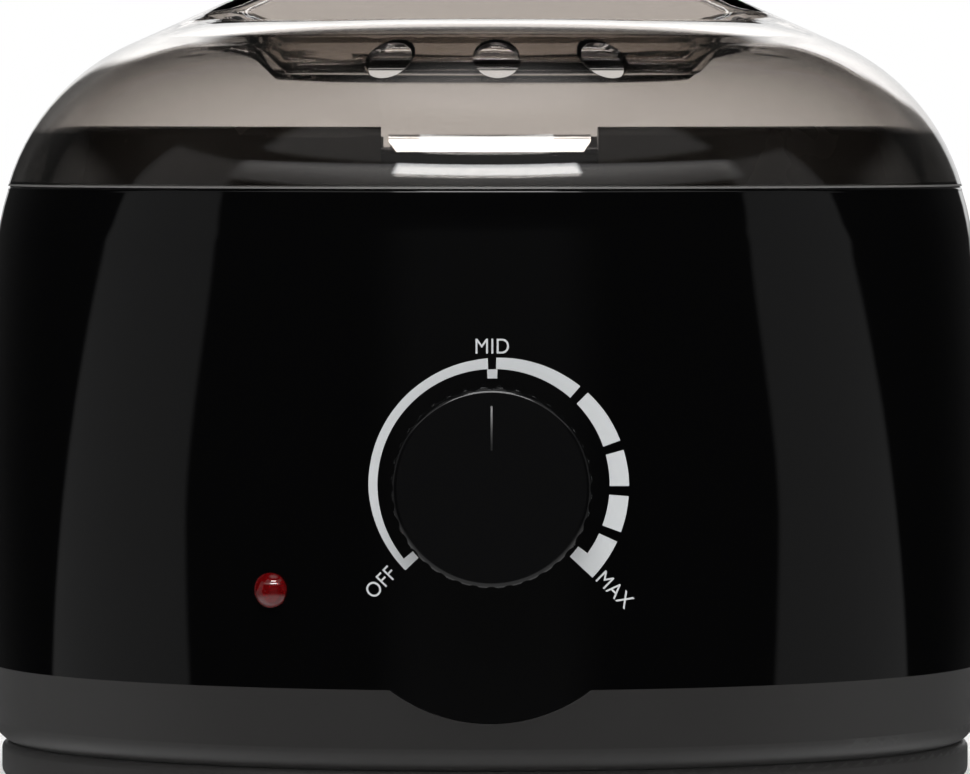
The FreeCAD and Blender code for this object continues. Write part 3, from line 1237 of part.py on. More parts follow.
def lid_form(name, inset):
    """The lid's outer form, or with an inset the form of its hollow: a dome less two finger scoops."""
    eave = (f"({SEAM_RADIUS} - lid_run - {inset}*sin(roof_slope))",
            f"({SEAM} + lid_rise - {inset}*cos(roof_slope))")
    top = f"({LID_TOP} - {inset})"
    floor = f"({LID_TOP} - dish_drop - {inset})"

    def roof(radius):
        return f"({eave[1]} + ({eave[0]} - {radius})*tan(roof_slope))"

    roof_end = f"({eave[0]} - ({top} - {eave[1]})/tan(roof_slope))"
    dome = turned(f"{name}_dome", [
        ("0", SEAM),
        (f"({SEAM_RADIUS} - {inset}*1.03)", SEAM),
        (*eave, f"lid_curve - {inset}", "left"),
        (roof_end, top),
        ("0", top),
    ])

    # the scoop's flare and steep wall meet at a corner that an inset moves along their bisector
    crest = f"({SEAM} + lid_rise + ({SEAM_RADIUS} - lid_run - {CREST})*tan(roof_slope))"
    shift = f"({inset}/cos((scoop_slope - flare_slope)/2))"
    corner = (f"({FLARE_RING} + {shift}*sin((scoop_slope + flare_slope)/2))",
              f"({crest} - {FLARE_DROP} - {shift}*cos((scoop_slope + flare_slope)/2))")
    wall_foot = f"({corner[0]} - ({corner[1]} - {floor})/tan(scoop_slope))"
    scoop = turned(f"{name}_scoop", [
        ("0", floor),
        (wall_foot, floor),
        corner,
        (BELLY, f"{corner[1]} + ({BELLY} - {corner[0]})*tan(flare_slope)"),
        (BELLY, f"{LID_TOP} + 40"),
        ("0", f"{LID_TOP} + 40"),
    ])

    def half(level):
        return f"(bar_foot - {inset} - (bar_foot - bar_head)*({level} - {floor})/({top} - {floor}))"

    under, over = f"({floor} - 1)", f"({LID_TOP} + 5)"
    bar = padded(f"{name}_bar", "YZ_Plane", [
        (f"-{half(under)}", under),
        (half(under), under),
        (half(over), over),
        (f"-{half(over)}", over),
    ], f"4*{CREST}", both_ways=True)
    plain = cut(f"{name}_plain", dome, cut(f"{name}_scoops", scoop, bar))

    # the roof and the scoop's flare meet at the crest
    slopes = "(tan(roof_slope) + tan(flare_slope))"
    flare_rise = f"({roof(corner[0])} - {corner[1]})"
    crest_ring = f"({corner[0]} + {flare_rise}/{slopes})"

    def ring_at(radius, level):
        def test(edge):
            shape = edge.Curve
            if shape.TypeId != "Part::GeomCircle" or abs(shape.Radius - value(radius)) > 0.01:
                return False
            return abs(shape.Center.z - value(level)) < 0.01
        return test

    def on_bar(edge, roofed):
        """Whether an edge lies on the bar's side planes, on the roof or under it."""
        middle = edge.valueAt((edge.FirstParameter + edge.LastParameter) / 2)
        if abs(abs(middle.y) - value(half(f"{middle.z}"))) > 0.01:
            return False
        height = min(value(roof(f"{math.hypot(middle.x, middle.y)}")), value(top))
        return (middle.z > height - 0.01) == roofed

    return rounded(f"{name}_form", plain, [
        (lambda edge: on_bar(edge, True), f"bar_turn - {inset}"),
        (lambda edge: on_bar(edge, False), "bar_root"),
        (ring_at(crest_ring, roof(crest_ring)), "crest_turn"),
        (ring_at(*corner), "flare_turn"),
        (ring_at(wall_foot, floor), "dish_turn"),
    ])


def vent(name, angle):
    """A cutter through the lid's front, tilted up."""
    radius = value(f"{SEAM_RADIUS} - lid_run + 5")
    tilt = Rotation(Vector(1, 0, 0), 90 - value("vent_tilt"))
    start = Placement(Vector(0, -radius, value("vent_level")), tilt)
    return cylinder(name, "vent_radius", "24", ("0", "0", "-12"), about_z(angle, start))


lid_outer = lid_form("lid_outer", "0")
lid_inner = lid_form("lid_inner", "lid_wall")
vents = [vent(f"vent_{n}", (n - 1) * value("vent_angle")) for n in range(3)]
keep("lid", cut("lid", lid_outer, lid_inner, *vents))

# ---------------------------------------------------------------- write the files
doc.recompute()
problems = []
for thing in doc.Objects:
    if "Invalid" in thing.State or "Error" in thing.State:
        problems.append(f"{thing.Name}: {thing.State}")
for name, piece in nodes.items():
    shape = piece.Shape
    if shape.isNull() or not shape.isValid() or not shape.Solids:
        problems.append(f"{name}: null, not valid or without a solid")
if problems:
    raise SystemExit("these failed:\n" + "\n".join(problems))

os.makedirs("parts", exist_ok=True)
for name, piece in nodes.items():
    piece.Shape.exportStep(f"parts/{name}.step")
    print(f"{name:24s} {len(piece.Shape.Solids):3d} solids {piece.Shape.Volume / 1000:9.2f} cm3")
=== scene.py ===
# %% [markdown]
# # A tabletop wax warmer
# The warmer is a gloss-black barrel on a satin base, with a thermostat knob in front, a lift-out
# aluminium pot and a smoked, see-through lid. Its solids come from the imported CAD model, which
# stays fixed. This lesson gives each of them a finish, stretches a skin with true normals over the
# barrel, the lid and the knob, prints the dial on the curved wall, and lights the whole as a
# studio does for glossy black things: dark in front, a grey panel on each side, two bright bars
# above, white behind.

import math

import bpy
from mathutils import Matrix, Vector


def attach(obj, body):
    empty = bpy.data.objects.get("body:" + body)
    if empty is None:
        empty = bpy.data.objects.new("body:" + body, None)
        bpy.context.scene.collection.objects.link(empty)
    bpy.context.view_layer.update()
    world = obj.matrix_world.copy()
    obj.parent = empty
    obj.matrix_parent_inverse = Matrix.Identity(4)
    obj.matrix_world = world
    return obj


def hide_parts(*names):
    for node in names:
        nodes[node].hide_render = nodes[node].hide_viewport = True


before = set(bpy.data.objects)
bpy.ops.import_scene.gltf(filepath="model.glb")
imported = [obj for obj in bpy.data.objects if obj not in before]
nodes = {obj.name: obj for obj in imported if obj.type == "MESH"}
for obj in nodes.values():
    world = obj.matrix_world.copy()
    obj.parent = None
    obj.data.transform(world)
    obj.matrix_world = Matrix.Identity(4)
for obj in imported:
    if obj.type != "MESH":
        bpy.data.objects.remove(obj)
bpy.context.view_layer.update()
MM = 0.001
print("solids:", len(nodes))

# %% [markdown]
# Shader nodes are wired up many times below, in the finishes and in the sky. Three small helpers
# keep that short. A socket is fed with a plain number or with another node's output, a Math node
# takes its terms in order, and a Map Range node stretches a value from one range to another.


# %% Node helpers
def feed(tree, socket, term):
    """Set a socket to a number, or link it to another node's output."""
    if isinstance(term, (int, float)):
        socket.default_value = term
    else:
        tree.links.new(term, socket)


def maths(tree, operation, *terms):
    """The result of a Math node."""
    made = tree.nodes.new("ShaderNodeMath")
    made.operation = operation
    for socket, term in zip(made.inputs, terms):
        feed(tree, socket, term)
    return made.outputs[0]


def stretch(tree, value, start, end, low=0.0, high=1.0, curve="LINEAR"):
    """Go from low to high as value goes from start to end."""
    made = tree.nodes.new("ShaderNodeMapRange")
    made.interpolation_type = curve
    for socket, term in zip(made.inputs, (value, start, end, low, high)):
        feed(tree, socket, term)
    return made.outputs[0]


# %% [markdown]
# Every finish is a Principled shader. What makes it look like a real plastic or metal is small: a
# little noise in the roughness, where hands and cloths have been, and a bump far finer than a
# millimetre. So one helper makes the shader with both, and each finish gives only its numbers.

# %% A finish with fine noise
HAND_MARKS = 60.0  # size of the wiped patches, as a noise scale to the metre
MIDDLE = (0.3, 0.7)  # the range that most of a noise's values lie in


def noise(tree, scale, detail):
    """Noise that is fixed to the object and moves with it."""
    made = tree.nodes.new("ShaderNodeTexNoise")
    made.inputs["Scale"].default_value = scale
    made.inputs["Detail"].default_value = detail
    tree.links.new(tree.nodes["Texture Coordinate"].outputs["Object"], made.inputs["Vector"])
    return made.outputs["Fac"]


def finish(name, colour, roughness, metallic=0.0, grain=0.0, grain_size=0.4, wear=0.05, **more):
    """A Principled material; grain is the bump's height in mm, grain_size its scale in mm."""
    material = bpy.data.materials.new(name)
    material.use_nodes = True
    tree = material.node_tree
    tree.nodes.new("ShaderNodeTexCoord")
    shader = tree.nodes["Principled BSDF"]
    shader.inputs["Base Color"].default_value = (*colour, 1)
    shader.inputs["Metallic"].default_value = metallic
    for socket, value in more.items():
        shader.inputs[socket.replace("_", " ")].default_value = value
    marks = noise(tree, HAND_MARKS, 3.0)
    spread = stretch(tree, marks, *MIDDLE, roughness * (1 - wear), roughness * (1 + wear))
    tree.links.new(spread, shader.inputs["Roughness"])
    if grain:
        bump = tree.nodes.new("ShaderNodeBump")
        bump.inputs["Strength"].default_value = 1.0
        bump.inputs["Distance"].default_value = grain * MM
        tree.links.new(noise(tree, 1 / (grain_size * MM), 2.0), bump.inputs["Height"])
        tree.links.new(bump.outputs["Normal"], shader.inputs["Normal"])
    return material


def dress(material, *names):
    """Give a finish to CAD solids, by their names."""
    for name in names:
        slots = nodes[name].data.materials
        slots.clear()
        slots.append(material)
    print(material.name, "->", ", ".join(names))


# %% [markdown]
# The barrel is one glossy black moulding. Black plastic shows almost nothing of its own colour,
# and nearly all that is seen of it is what it mirrors, so its roughness is low and even. The base
# ring and the cover under it have a fine spark-eroded grain, which spreads the same light into a
# soft sheen.

# %% Housing finishes
gloss_black = finish("gloss_black", (0.0014, 0.0014, 0.0015), 0.045, wear=0.15)
satin_black = finish(
    "satin_black", (0.0185, 0.0175, 0.017), 0.42, grain=0.012, grain_size=0.25,
    Sheen_Weight=0.085, Sheen_Roughness=0.5,
)
collar_gloss = finish("collar_gloss", (0.05, 0.046, 0.043), 0.25, wear=0.15)
knob_gloss = finish("knob_gloss", (0.0022, 0.0022, 0.0024), 0.1, wear=0.1)
dress(satin_black, "base_ring", "bottom_cover", "cord_clamp")
dress(collar_gloss, "pot_collar")
dress(knob_gloss, "knob")

# %% [markdown]
# The lid is a smoked clear moulding, 2 mm thick. Its own colour is set on the shader, which tints
# what passes through each wall, so the two walls in line look twice as dark as one. Light that
# meets a wall at a slant goes a longer way through it, so the colour deepens towards the lid's
# sides. The deepening is made far stronger than that longer way gives, and the rest is painted
# shade on the lid's sides. A mix between two colours does that, and how far it goes is read from
# the slant at which the wall is seen.


# %% Colours that change over a piece
def by_slant(material, start, end):
    """A share that is 0 where a piece is seen square on and 1 where it is seen at a slant."""
    slant = material.node_tree.nodes.new("ShaderNodeLayerWeight")
    slant.inputs["Blend"].default_value = 0.5
    return stretch(material.node_tree, slant.outputs["Facing"], start, end)


def by_height(material, start, end):
    """A share that goes from 0 to 1 between two heights in mm."""
    tree = material.node_tree
    parts = tree.nodes.new("ShaderNodeSeparateXYZ")
    tree.links.new(tree.nodes["Texture Coordinate"].outputs["Object"], parts.inputs[0])
    return stretch(tree, parts.outputs["Z"], start * MM, end * MM)


def turn_to(material, colour, share):
    """Let a finish go from the colour that it has to another, by a share from 0 to 1."""
    tree = material.node_tree
    base = tree.nodes["Principled BSDF"].inputs["Base Color"]
    mix = tree.nodes.new("ShaderNodeMix")
    mix.data_type = "RGBA"
    mix.inputs["A"].default_value = base.default_value
    mix.inputs["B"].default_value = (*colour, 1)
    if base.is_linked:
        tree.links.new(base.links[0].from_socket, mix.inputs["A"])
    tree.links.new(share, mix.inputs["Factor"])
    tree.links.new(mix.outputs["Result"], base)
    print(material.name, "turns to", colour)


# %% [markdown]
# The lid's lowest centimetre stands round the black collar, where a slanting look through the wall
# would end on black plastic. That darkness is painted into the wall as painted shade: seen at a
# slant below the collar's top, its colour turns nearly black. The very edge of the foot was
# trimmed and is matt, and it shows as a thin grey line over the barrel.

# %% See-through finishes
COLLAR_TOP = (120.2, 118.6)  # mm; the wall turns dark between these two heights

smoked = finish("smoked_clear", (0.695, 0.656, 0.622), 0.02, IOR=1.49, Transmission_Weight=1.0)
# The deeper colour at a slant is partly the longer way through the wall, and mostly painted shade
# on the lid's sides.
turn_to(smoked, (0.42, 0.39, 0.365), by_slant(smoked, 0.3, 0.85))
# Painted shade: the wall turns nearly black where it is seen at a slant below the collar's top.
collar_painted_shade = maths(
    smoked.node_tree, "MULTIPLY", by_slant(smoked, 0.5, 0.62), by_height(smoked, *COLLAR_TOP)
)
turn_to(smoked, (0.02, 0.019, 0.018), collar_painted_shade)
smoked_foot = finish("smoked_foot", (0.2, 0.195, 0.19), 0.45, IOR=1.49, Transmission_Weight=0.4)

# %% [markdown]
# The lamp's lens is a small red dome, pressed in from the front, and its index is set high, so
# that it sparkles like a cut one. The neon lamp behind it is clear glass.

# %% Lamp finishes
lens_red = finish("lens_red", (0.33, 0.005, 0.007), 0.05, IOR=1.75, Transmission_Weight=0.75)
lamp_glass = finish("lamp_glass", (0.95, 0.9, 0.86), 0.03, IOR=1.5, Transmission_Weight=0.95)
dress(lens_red, "lamp_lens")
dress(lamp_glass, "neon_lamp")

# %% [markdown]
# Inside are metals and plain technical plastics. The pot is drawn and brushed aluminium, and the
# small hardware is zinc-plated steel or brass.

# %% Metals and inner finishes
aluminium = finish("brushed_aluminium", (0.80, 0.80, 0.81), 0.26, 1.0, grain=0.004, grain_size=0.2)
steel = finish("zinc_steel", (0.62, 0.62, 0.63), 0.3, 1.0, grain=0.004, grain_size=0.5)
brass = finish("turned_brass", (0.76, 0.56, 0.26), 0.28, 1.0, grain=0.003)
rubber = finish("black_rubber", (0.02, 0.02, 0.02), 0.65, grain=0.02, grain_size=0.5)
ceramic = finish("heater_ceramic", (0.62, 0.58, 0.50), 0.8, grain=0.03, grain_size=0.6)
wool = finish("glass_wool", (0.80, 0.77, 0.68), 0.95, grain=0.25, grain_size=1.2)
phenolic = finish("switch_moulding", (0.66, 0.61, 0.50), 0.5, grain=0.01)
nylon = finish("white_nylon", (0.82, 0.82, 0.79), 0.4, grain=0.006)
dress(aluminium, "wax_pot", "front_lifting_tab", "rear_lifting_tab", "tab_rivets", "heater_cup")
dress(
    steel, "case_screws", "standoff_screws", "collar_screws", "heater_clamp_plate", "heater_nut",
    "cup_standoffs", "thermostat_bracket", "thermostat_nut", "dial_shaft", "lens_push_ring",
    "clamp_screws", "thermal_fuse", "fuse_clip", "earth_tag",
)
dress(brass, "thermostat_bush", "thermostat_terminals", "terminal_screws")
dress(rubber, "rubber_feet", "cord_gland")
dress(ceramic, "heater_disc")
dress(wool, "insulation_sleeve")
dress(phenolic, "thermostat_body")
dress(nylon, "terminal_block")

# %% [markdown]
# The leads inside keep the colours of mains wiring, so that they can be told apart: brown is live,
# blue is neutral, green is earth, and the lamp's thin leads are white. Their sleeves are a milky
# clear.

# %% Wiring finishes
LEADS = {
    "lead_brown": ((0.16, 0.05, 0.018), "brown_leads"),
    "lead_blue": ((0.02, 0.10, 0.42), "blue_leads"),
    "lead_green": ((0.10, 0.42, 0.05), "earth_lead"),
    "lead_white": ((0.80, 0.80, 0.77), "lamp_leads"),
}
for name, (colour, lead) in LEADS.items():
    dress(finish(name, colour, 0.45, grain=0.004), lead)
sleeve_clear = finish(
    "sleeve_clear", (0.86, 0.86, 0.82), 0.25, grain=0.004, IOR=1.45, Transmission_Weight=0.6
)
dress(sleeve_clear, "push_on_sleeves", "crimp_sleeves")

# %% [markdown]
# A mirror-like surface shows every slip of its normals, and those of the CAD meshes are worked out
# from triangles. The barrel and the lid are turned shapes, so their true normals are known from
# their profiles: along an arc they point away from its centre. Each of the two is copied, its
# triangles are merged into one skin, and where a corner lies on one of the profile's arcs or
# slopes it gets the true normal. Lengths are in millimetres, r from the axis and z from the table.

# %% A skin that stands for a solid
MERGE = 0.001 * MM


def edit(action="SELECT"):
    """Go into edit mode, with everything selected or deselected."""
    bpy.ops.object.mode_set(mode="EDIT")
    bpy.ops.mesh.select_all(action=action)


def edit_done():
    """Go back to object mode, which brings the mesh's data up to date."""
    bpy.ops.object.mode_set(mode="OBJECT")


def skin_of(name, material):
    """A copy of a CAD solid with its triangles merged, that stands for it."""
    bpy.ops.object.select_all(action="DESELECT")
    skin = nodes[name].copy()
    skin.data = nodes[name].data.copy()
    skin.name = skin.data.name = f"{name}_skin"
    bpy.context.scene.collection.objects.link(skin)
    skin.select_set(True)
    bpy.context.view_layer.objects.active = skin
    if skin.data.has_custom_normals:
        bpy.ops.mesh.customdata_custom_splitnormals_clear()
    edit()
    bpy.ops.mesh.remove_doubles(threshold=MERGE)
    edit_done()
    skin.data.materials.clear()
    skin.data.materials.append(material)
    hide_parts(name)
    return skin


# %% Profiles of turned walls
ON_ARC = 0.08  # mm that a corner may lie off its arc


def arc_wall(centre_r, centre_z, radius, low, high, way=1):
    """Normal of a wall that is an arc between two heights; way is -1 on its inside."""

    def normal(r, z):
        reach = math.hypot(r - centre_r, z - centre_z)
        if abs(reach - radius) > ON_ARC or not low <= z <= high:
            return None
        return way * (r - centre_r) / reach, way * (z - centre_z) / reach

    return normal


# %% True normals
SHARP = math.radians(28)  # an edge that turns by more than this stays an edge
SAME_WAY = 0.96  # cosine of the most that a face may lean away from its wall's normal


def smooth_normals(skin):
    """Shade a skin smooth between its sharp edges, and list its corners' normals."""
    bpy.ops.object.shade_smooth_by_angle(angle=SHARP)
    return [corner.vector.copy() for corner in skin.data.corner_normals]


def true_normals(skin, walls):
    """Give the corners that lie on a turned wall the wall's own normal."""
    normals = smooth_normals(skin)
    mesh = skin.data
    mended = 0
    for face in mesh.polygons:
        for corner in face.loop_indices:
            x, y, z = (v / MM for v in mesh.vertices[mesh.loops[corner].vertex_index].co)
            r = math.hypot(x, y)
            for wall in walls:
                found = wall(r, z)
                if not found or r < 1:
                    continue
                true = Vector((found[0] * x / r, found[0] * y / r, found[1]))
                if true.dot(face.normal) > SAME_WAY:
                    normals[corner] = true
                    mended += 1
                    break
    mesh.normals_split_custom_set(normals)
    print(skin.name, "corners:", len(normals), "on turned walls:", mended)


# %% [markdown]
# The barrel's profile is a long, flat arc up to the shoulder, the shoulder's own arc, and a small
# rounding at the rim. The real shoulder is a little fuller than a true arc, so from 11 degrees up
# its normals lean back by only half of what the arc adds.

# %% Barrel's skin
# Each arc is the r and z of its centre, its radius, and its lowest and highest z.
SIDE = (-410, 52, 500, 17, 100.05)
SHOULDER = (42.63, 94.44, 45.4, 99.95, 108.55)
RIM = (85, 108.5, 0.8, 108.5, 109.3)
FULL_LEAN = 11  # degrees up to which the shoulder's normals follow its arc
LESS_LEAN = 0.5  # how much of the arc's further lean they take


def shoulder_wall(r, z):
    """Normal of the barrel's shoulder, whose upper part leans back less than its arc does."""
    plain = arc_wall(*SHOULDER)(r, z)
    if not plain:
        return None
    lean = math.degrees(math.atan2(plain[1], plain[0]))
    lean = math.radians(min(lean, FULL_LEAN + (lean - FULL_LEAN) * LESS_LEAN))
    return math.cos(lean), math.sin(lean)


barrel = skin_of("upper_shell", gloss_black)
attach(barrel, "housing")
true_normals(barrel, [arc_wall(*SIDE), shoulder_wall, arc_wall(*RIM)])

# %% [markdown]
# Under the lid's foot the barrel ends in a rounding of 0.8 mm, and the light from above draws one
# fine line along it. A line that fine shows every step of the CAD mesh, so a finely divided ring
# lies on the rounding, 0.015 mm proud: a torus of which only the outer, upper quarter is kept.

# %% Ring on the barrel's rim
RIM_R, RIM_Z, RIM_ROUNDING = (v * MM for v in RIM[:3])
PROUD = 0.015 * MM
bpy.ops.object.select_all(action="DESELECT")
bpy.ops.mesh.primitive_torus_add(
    major_segments=360, minor_segments=48, major_radius=RIM_R,
    minor_radius=RIM_ROUNDING + PROUD, location=(0, 0, RIM_Z),
)
bpy.ops.object.transform_apply(location=True, rotation=True, scale=True)
rim = bpy.context.object
rim.name = rim.data.name = "barrel_rim"
bpy.ops.object.shade_smooth()
edit()
bpy.ops.mesh.bisect(plane_co=(0, 0, RIM_Z), plane_no=(0, 0, 1), clear_inner=True)
bpy.ops.mesh.select_all(action="DESELECT")
edit_done()
for face in rim.data.polygons:
    face.select = math.hypot(face.center.x, face.center.y) < RIM_R
bpy.ops.object.mode_set(mode="EDIT")
bpy.ops.mesh.delete(type="FACE")
edit_done()
rim.data.materials.append(gloss_black)
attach(rim, "housing")
print("rim faces:", len(rim.data.polygons))

# %% [markdown]
# The lid's crest round the finger scoops is a broad rounding that runs from the sloping roof to
# the level top, so its bright line is wide. The skin gets it by moving the corners near the crest
# onto an arc, and on to the level top inside it. Beside the bar handle the move fades out. The
# faces of the roof are long, so those that have to bend are divided first.

# %% Crest of the lid
LID_WALL = 2
CREST_R, CREST_Z, CREST_RADIUS = 47.3, 104.9, 34
CREST_START = 44.2  # r at which the scoop's flare begins to turn into the crest
FLARE_R, FLARE_Z, FLARE_SLOPE, FLARE_WALL = 43, 136.76, 0.364, 1.064
ROOF = (math.sin(math.radians(24)), math.cos(math.radians(24)))
BAR_SIDE, BAR_FADE = 15.0, 4.5  # the bar handle's half width, and the strip beside it
NEAR_CREST = 0.95  # mm that a corner may have to move


def crown(r, wall):
    """Height of the crest's outer face, or with a wall that of its inner face."""
    if r >= CREST_R:
        return CREST_Z + math.sqrt((CREST_RADIUS - wall) ** 2 - (r - CREST_R) ** 2)
    share = (r - CREST_START) / (CREST_R - CREST_START)
    share = share * share * (3 - 2 * share)
    flare = FLARE_Z + (r - FLARE_R) * FLARE_SLOPE - wall * FLARE_WALL
    return flare + share * (CREST_Z + CREST_RADIUS - wall - flare)


def crest_end(wall):
    """Where the crest meets the sloping roof."""
    return CREST_R + (CREST_RADIUS - wall) * ROOF[0]


def raise_crest(skin):
    """Move the corners near the crest onto it."""
    moved = 0
    for vertex in skin.data.vertices:
        x, y, z = (v / MM for v in vertex.co)
        r = math.hypot(x, y)
        for wall in (0, LID_WALL):
            if CREST_START < r < crest_end(wall) and abs(crown(r, wall) - z) < NEAR_CREST:
                fade = min(max((abs(y) - BAR_SIDE) / BAR_FADE, 0), 1)
                vertex.co.z += fade * (crown(r, wall) - z) * MM
                moved += fade > 0
                break
    print(skin.name, "corners moved to the crest:", moved)


# %% Divide the roof
ROOF_FOOT = 131  # mm above the table
ROOF_RING = (56, 64.2)  # the faces of the roof that bend lie between these radii
LYING = 0.6  # square of a normal's upward part, from which a face counts as lying


def divide_roof(skin, cuts):
    """Divide the lying faces of the roof, so that they can follow a curve."""
    edit("DESELECT")
    edit_done()
    mesh = skin.data
    low, high = ROOF_RING
    for face in mesh.polygons:
        spots = [mesh.vertices[v].co / MM for v in face.vertices]
        inside = all(low < math.hypot(p.x, p.y) < high and p.z > ROOF_FOOT for p in spots)
        face.select = inside and face.normal.z ** 2 > LYING
    bpy.ops.object.mode_set(mode="EDIT")
    bpy.ops.mesh.subdivide(number_cuts=cuts)
    edit_done()


# %% Walls of the lid
LID_OUTSIDE = (47.67, 98.63, 39.6, 109.2, 134.71)
LID_INSIDE = (47.69, 98.61, 37.6, 109.2, 132.9)
CREST_HEIGHTS = (130, 140)
CREST_PAST = 0.3  # mm that the crest's normals reach on to the roof
ROOF_R, ROOF_Z = 64, 134.7  # where the roof meets the side curve
ON_ROOF = 0.05  # mm that a corner may lie off the roof


def crest_wall(wall, way):
    """Normal of the crest's broad rounding."""
    plain = arc_wall(CREST_R, CREST_Z, CREST_RADIUS - wall, *CREST_HEIGHTS, way)
    end = crest_end(wall) + CREST_PAST
    return lambda r, z: plain(r, z) if CREST_R <= r <= end else None


def roof_wall(wall, way):
    """Normal of the lid's sloping roof, between the crest and the side curve."""
    start = ROOF_R - wall * ROOF[0]
    level = ROOF_Z - wall * ROOF[1]

    def normal(r, z):
        height = (r - start) * ROOF[0] + (z - level) * ROOF[1]
        if abs(height) > ON_ROOF or not crest_end(wall) < r < start + 0.01:
            return None
        return way * ROOF[0], way * ROOF[1]

    return normal


# %% [markdown]
# The lid was put on by hand and sits about a degree off square, which its three vents show, so the
# skin is turned about the lid's axis. Then a cut all round at the top of the matt edge lets the
# foot have its own finish.

# %% Lid's skin
LID_TURN = math.radians(-1.1)
FOOT_TOP = 109.65

cover = skin_of("lid", smoked)
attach(cover, "lid")
edit()
bpy.ops.transform.rotate(value=LID_TURN, orient_axis="Z", center_override=(0, 0, 0))
edit_done()
divide_roof(cover, 3)
raise_crest(cover)
edit()
bpy.ops.mesh.bisect(plane_co=(0, 0, FOOT_TOP * MM), plane_no=(0, 0, 1))
edit_done()
cover.data.materials.append(smoked_foot)
for face in cover.data.polygons:
    face.material_index = int(face.center.z < FOOT_TOP * MM)
true_normals(cover, [
    arc_wall(*LID_OUTSIDE), arc_wall(*LID_INSIDE, way=-1),
    crest_wall(0, 1), crest_wall(LID_WALL, -1),
    roof_wall(0, 1), roof_wall(LID_WALL, -1),
])

# %% [markdown]
# The knob's face is dished by a third of a millimetre. Its mesh meets in one point at the axis,
# which shows as a smudge in the mirror of the face, so there too the corners get the normals of
# the true dish, a shallow ball of which only a cap is used.

# %% Knob's skin
KNOB_FACE = Vector((0, -106, 59))
DISH_R, DISH_DEPTH = 14.45, 0.45
DISH_RADIUS = 296
TO_FRONT = -0.99  # y of a normal that looks straight ahead, or nearly


def dish_normals(skin):
    """Give the corners of the knob's face the dish's own normals."""
    normals = smooth_normals(skin)
    mesh = skin.data
    for face in mesh.polygons:
        if face.normal.y > TO_FRONT or face.center.y > (KNOB_FACE.y + 0.5) * MM:
            continue
        for corner in face.loop_indices:
            spot = mesh.vertices[mesh.loops[corner].vertex_index].co / MM - KNOB_FACE
            if math.hypot(spot.x, spot.z) < DISH_R and spot.y < DISH_DEPTH:
                normals[corner] = Vector((-spot.x, -DISH_RADIUS, -spot.z)).normalized()
    mesh.normals_split_custom_set(normals)
    print(skin.name, "corners:", len(normals))


grip = skin_of("knob", knob_gloss)
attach(grip, "dial")
dish_normals(grip)

# %% [markdown]
# The dial's scale and its three words are printed on the curved wall in pale grey ink. A print has
# no thickness to speak of, so it is modelled flat, straight in front of the wall, and then a
# Shrinkwrap modifier lays it on.

# %% Ink and its helper
IN_FRONT = -120  # y of the flat prints, clear of the wall
INK_HEIGHT = 0.03
ink = finish("dial_ink", (0.585, 0.60, 0.61), 0.35, grain=0.003, grain_size=0.1)


def lay_on_wall(print_piece):
    """Lay a flat print on the barrel's wall and give it the ink."""
    bpy.ops.object.select_all(action="DESELECT")
    print_piece.select_set(True)
    bpy.context.view_layer.objects.active = print_piece
    bpy.ops.object.transform_apply(location=True, rotation=True, scale=True)
    wrap = print_piece.modifiers.new("wrap", "SHRINKWRAP")
    wrap.target = nodes["upper_shell"]
    wrap.wrap_method = "PROJECT"
    wrap.use_project_y = True
    wrap.use_positive_direction = True
    wrap.use_negative_direction = False
    wrap.offset = INK_HEIGHT * MM
    bpy.ops.object.modifier_apply(modifier="wrap")
    print_piece.data.materials.clear()
    print_piece.data.materials.append(ink)
    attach(print_piece, "housing")
    print(print_piece.name, "mm:", [round(v / MM, 1) for v in print_piece.dimensions])


# %% [markdown]
# The scale is a band that runs clockwise from OFF at the lower left to MAX at the lower right and
# grows wider towards the hot end, with a gap at each mark. Its outer edge isn't a circle about the
# same centre, so spinning an edge can't make it, and each segment is a grid whose rows are set on
# the two edges instead. Angles are in degrees from the top.

# %% Scale
DIAL = Vector((0.54, 0, 58.87)) * MM
INNER = 19.8
OUTER = [
    (-135, 20.9), (-122, 21.0), (-92, 21.34), (-62, 21.34), (-32, 21.4), (-8, 21.56), (10, 21.88),
    (34, 22.26), (58, 22.73), (87, 23.13), (105, 23.2), (117, 23.22), (134, 23.13),
]
SEGMENTS = [(-134, -2.7), (1.2, 41.3), (45.6, 70.8), (75, 90.6), (94.9, 110.5), (114.7, 133.2)]
ROW = 2  # degrees to a row of the grid


def outer_edge(angle):
    """Radius of the scale's outer edge at an angle."""
    for (a, ra), (b, rb) in zip(OUTER, OUTER[1:]):
        if a <= angle <= b:
            return ra + (rb - ra) * (angle - a) / (b - a)
    return OUTER[-1][1]


def segment(name, first, last, inner=INNER, outer=outer_edge):
    """A piece of the band between two angles and two edges."""
    rows = max(2, round((last - first) / ROW))
    bpy.ops.object.select_all(action="DESELECT")
    bpy.ops.mesh.primitive_grid_add(x_subdivisions=rows, y_subdivisions=2, size=2)
    piece = bpy.context.object
    piece.name = piece.data.name = name
    for vertex in piece.data.vertices:
        angle = math.radians(first + (vertex.co.x + 1) / 2 * (last - first))
        reach = inner + (vertex.co.y + 1) / 2 * (outer(math.degrees(angle)) - inner)
        vertex.co = (reach * MM * math.sin(angle), 0, reach * MM * math.cos(angle))
    piece.location = DIAL + Vector((0, IN_FRONT * MM, 0))
    lay_on_wall(piece)


for number, (first, last) in enumerate(SEGMENTS, start=1):
    segment(f"dial_scale_{number}", first, last)
print("scale segments:", len(SEGMENTS))

# %% [markdown]
# The band's two ends have feet that reach in towards the knob, and a short tick marks the middle.

# %% Feet and tick
FOOT_R = 17.8
TICK = (18.2, 19.75)  # its inner and outer radius
segment("dial_foot_off", -134, -129.3, inner=FOOT_R, outer=lambda a: INNER)
segment("dial_foot_max", 126, 133.2, inner=FOOT_R, outer=lambda a: INNER)
segment("dial_tick_mid", -3.3, 1.9, inner=TICK[0], outer=lambda a: TICK[1])

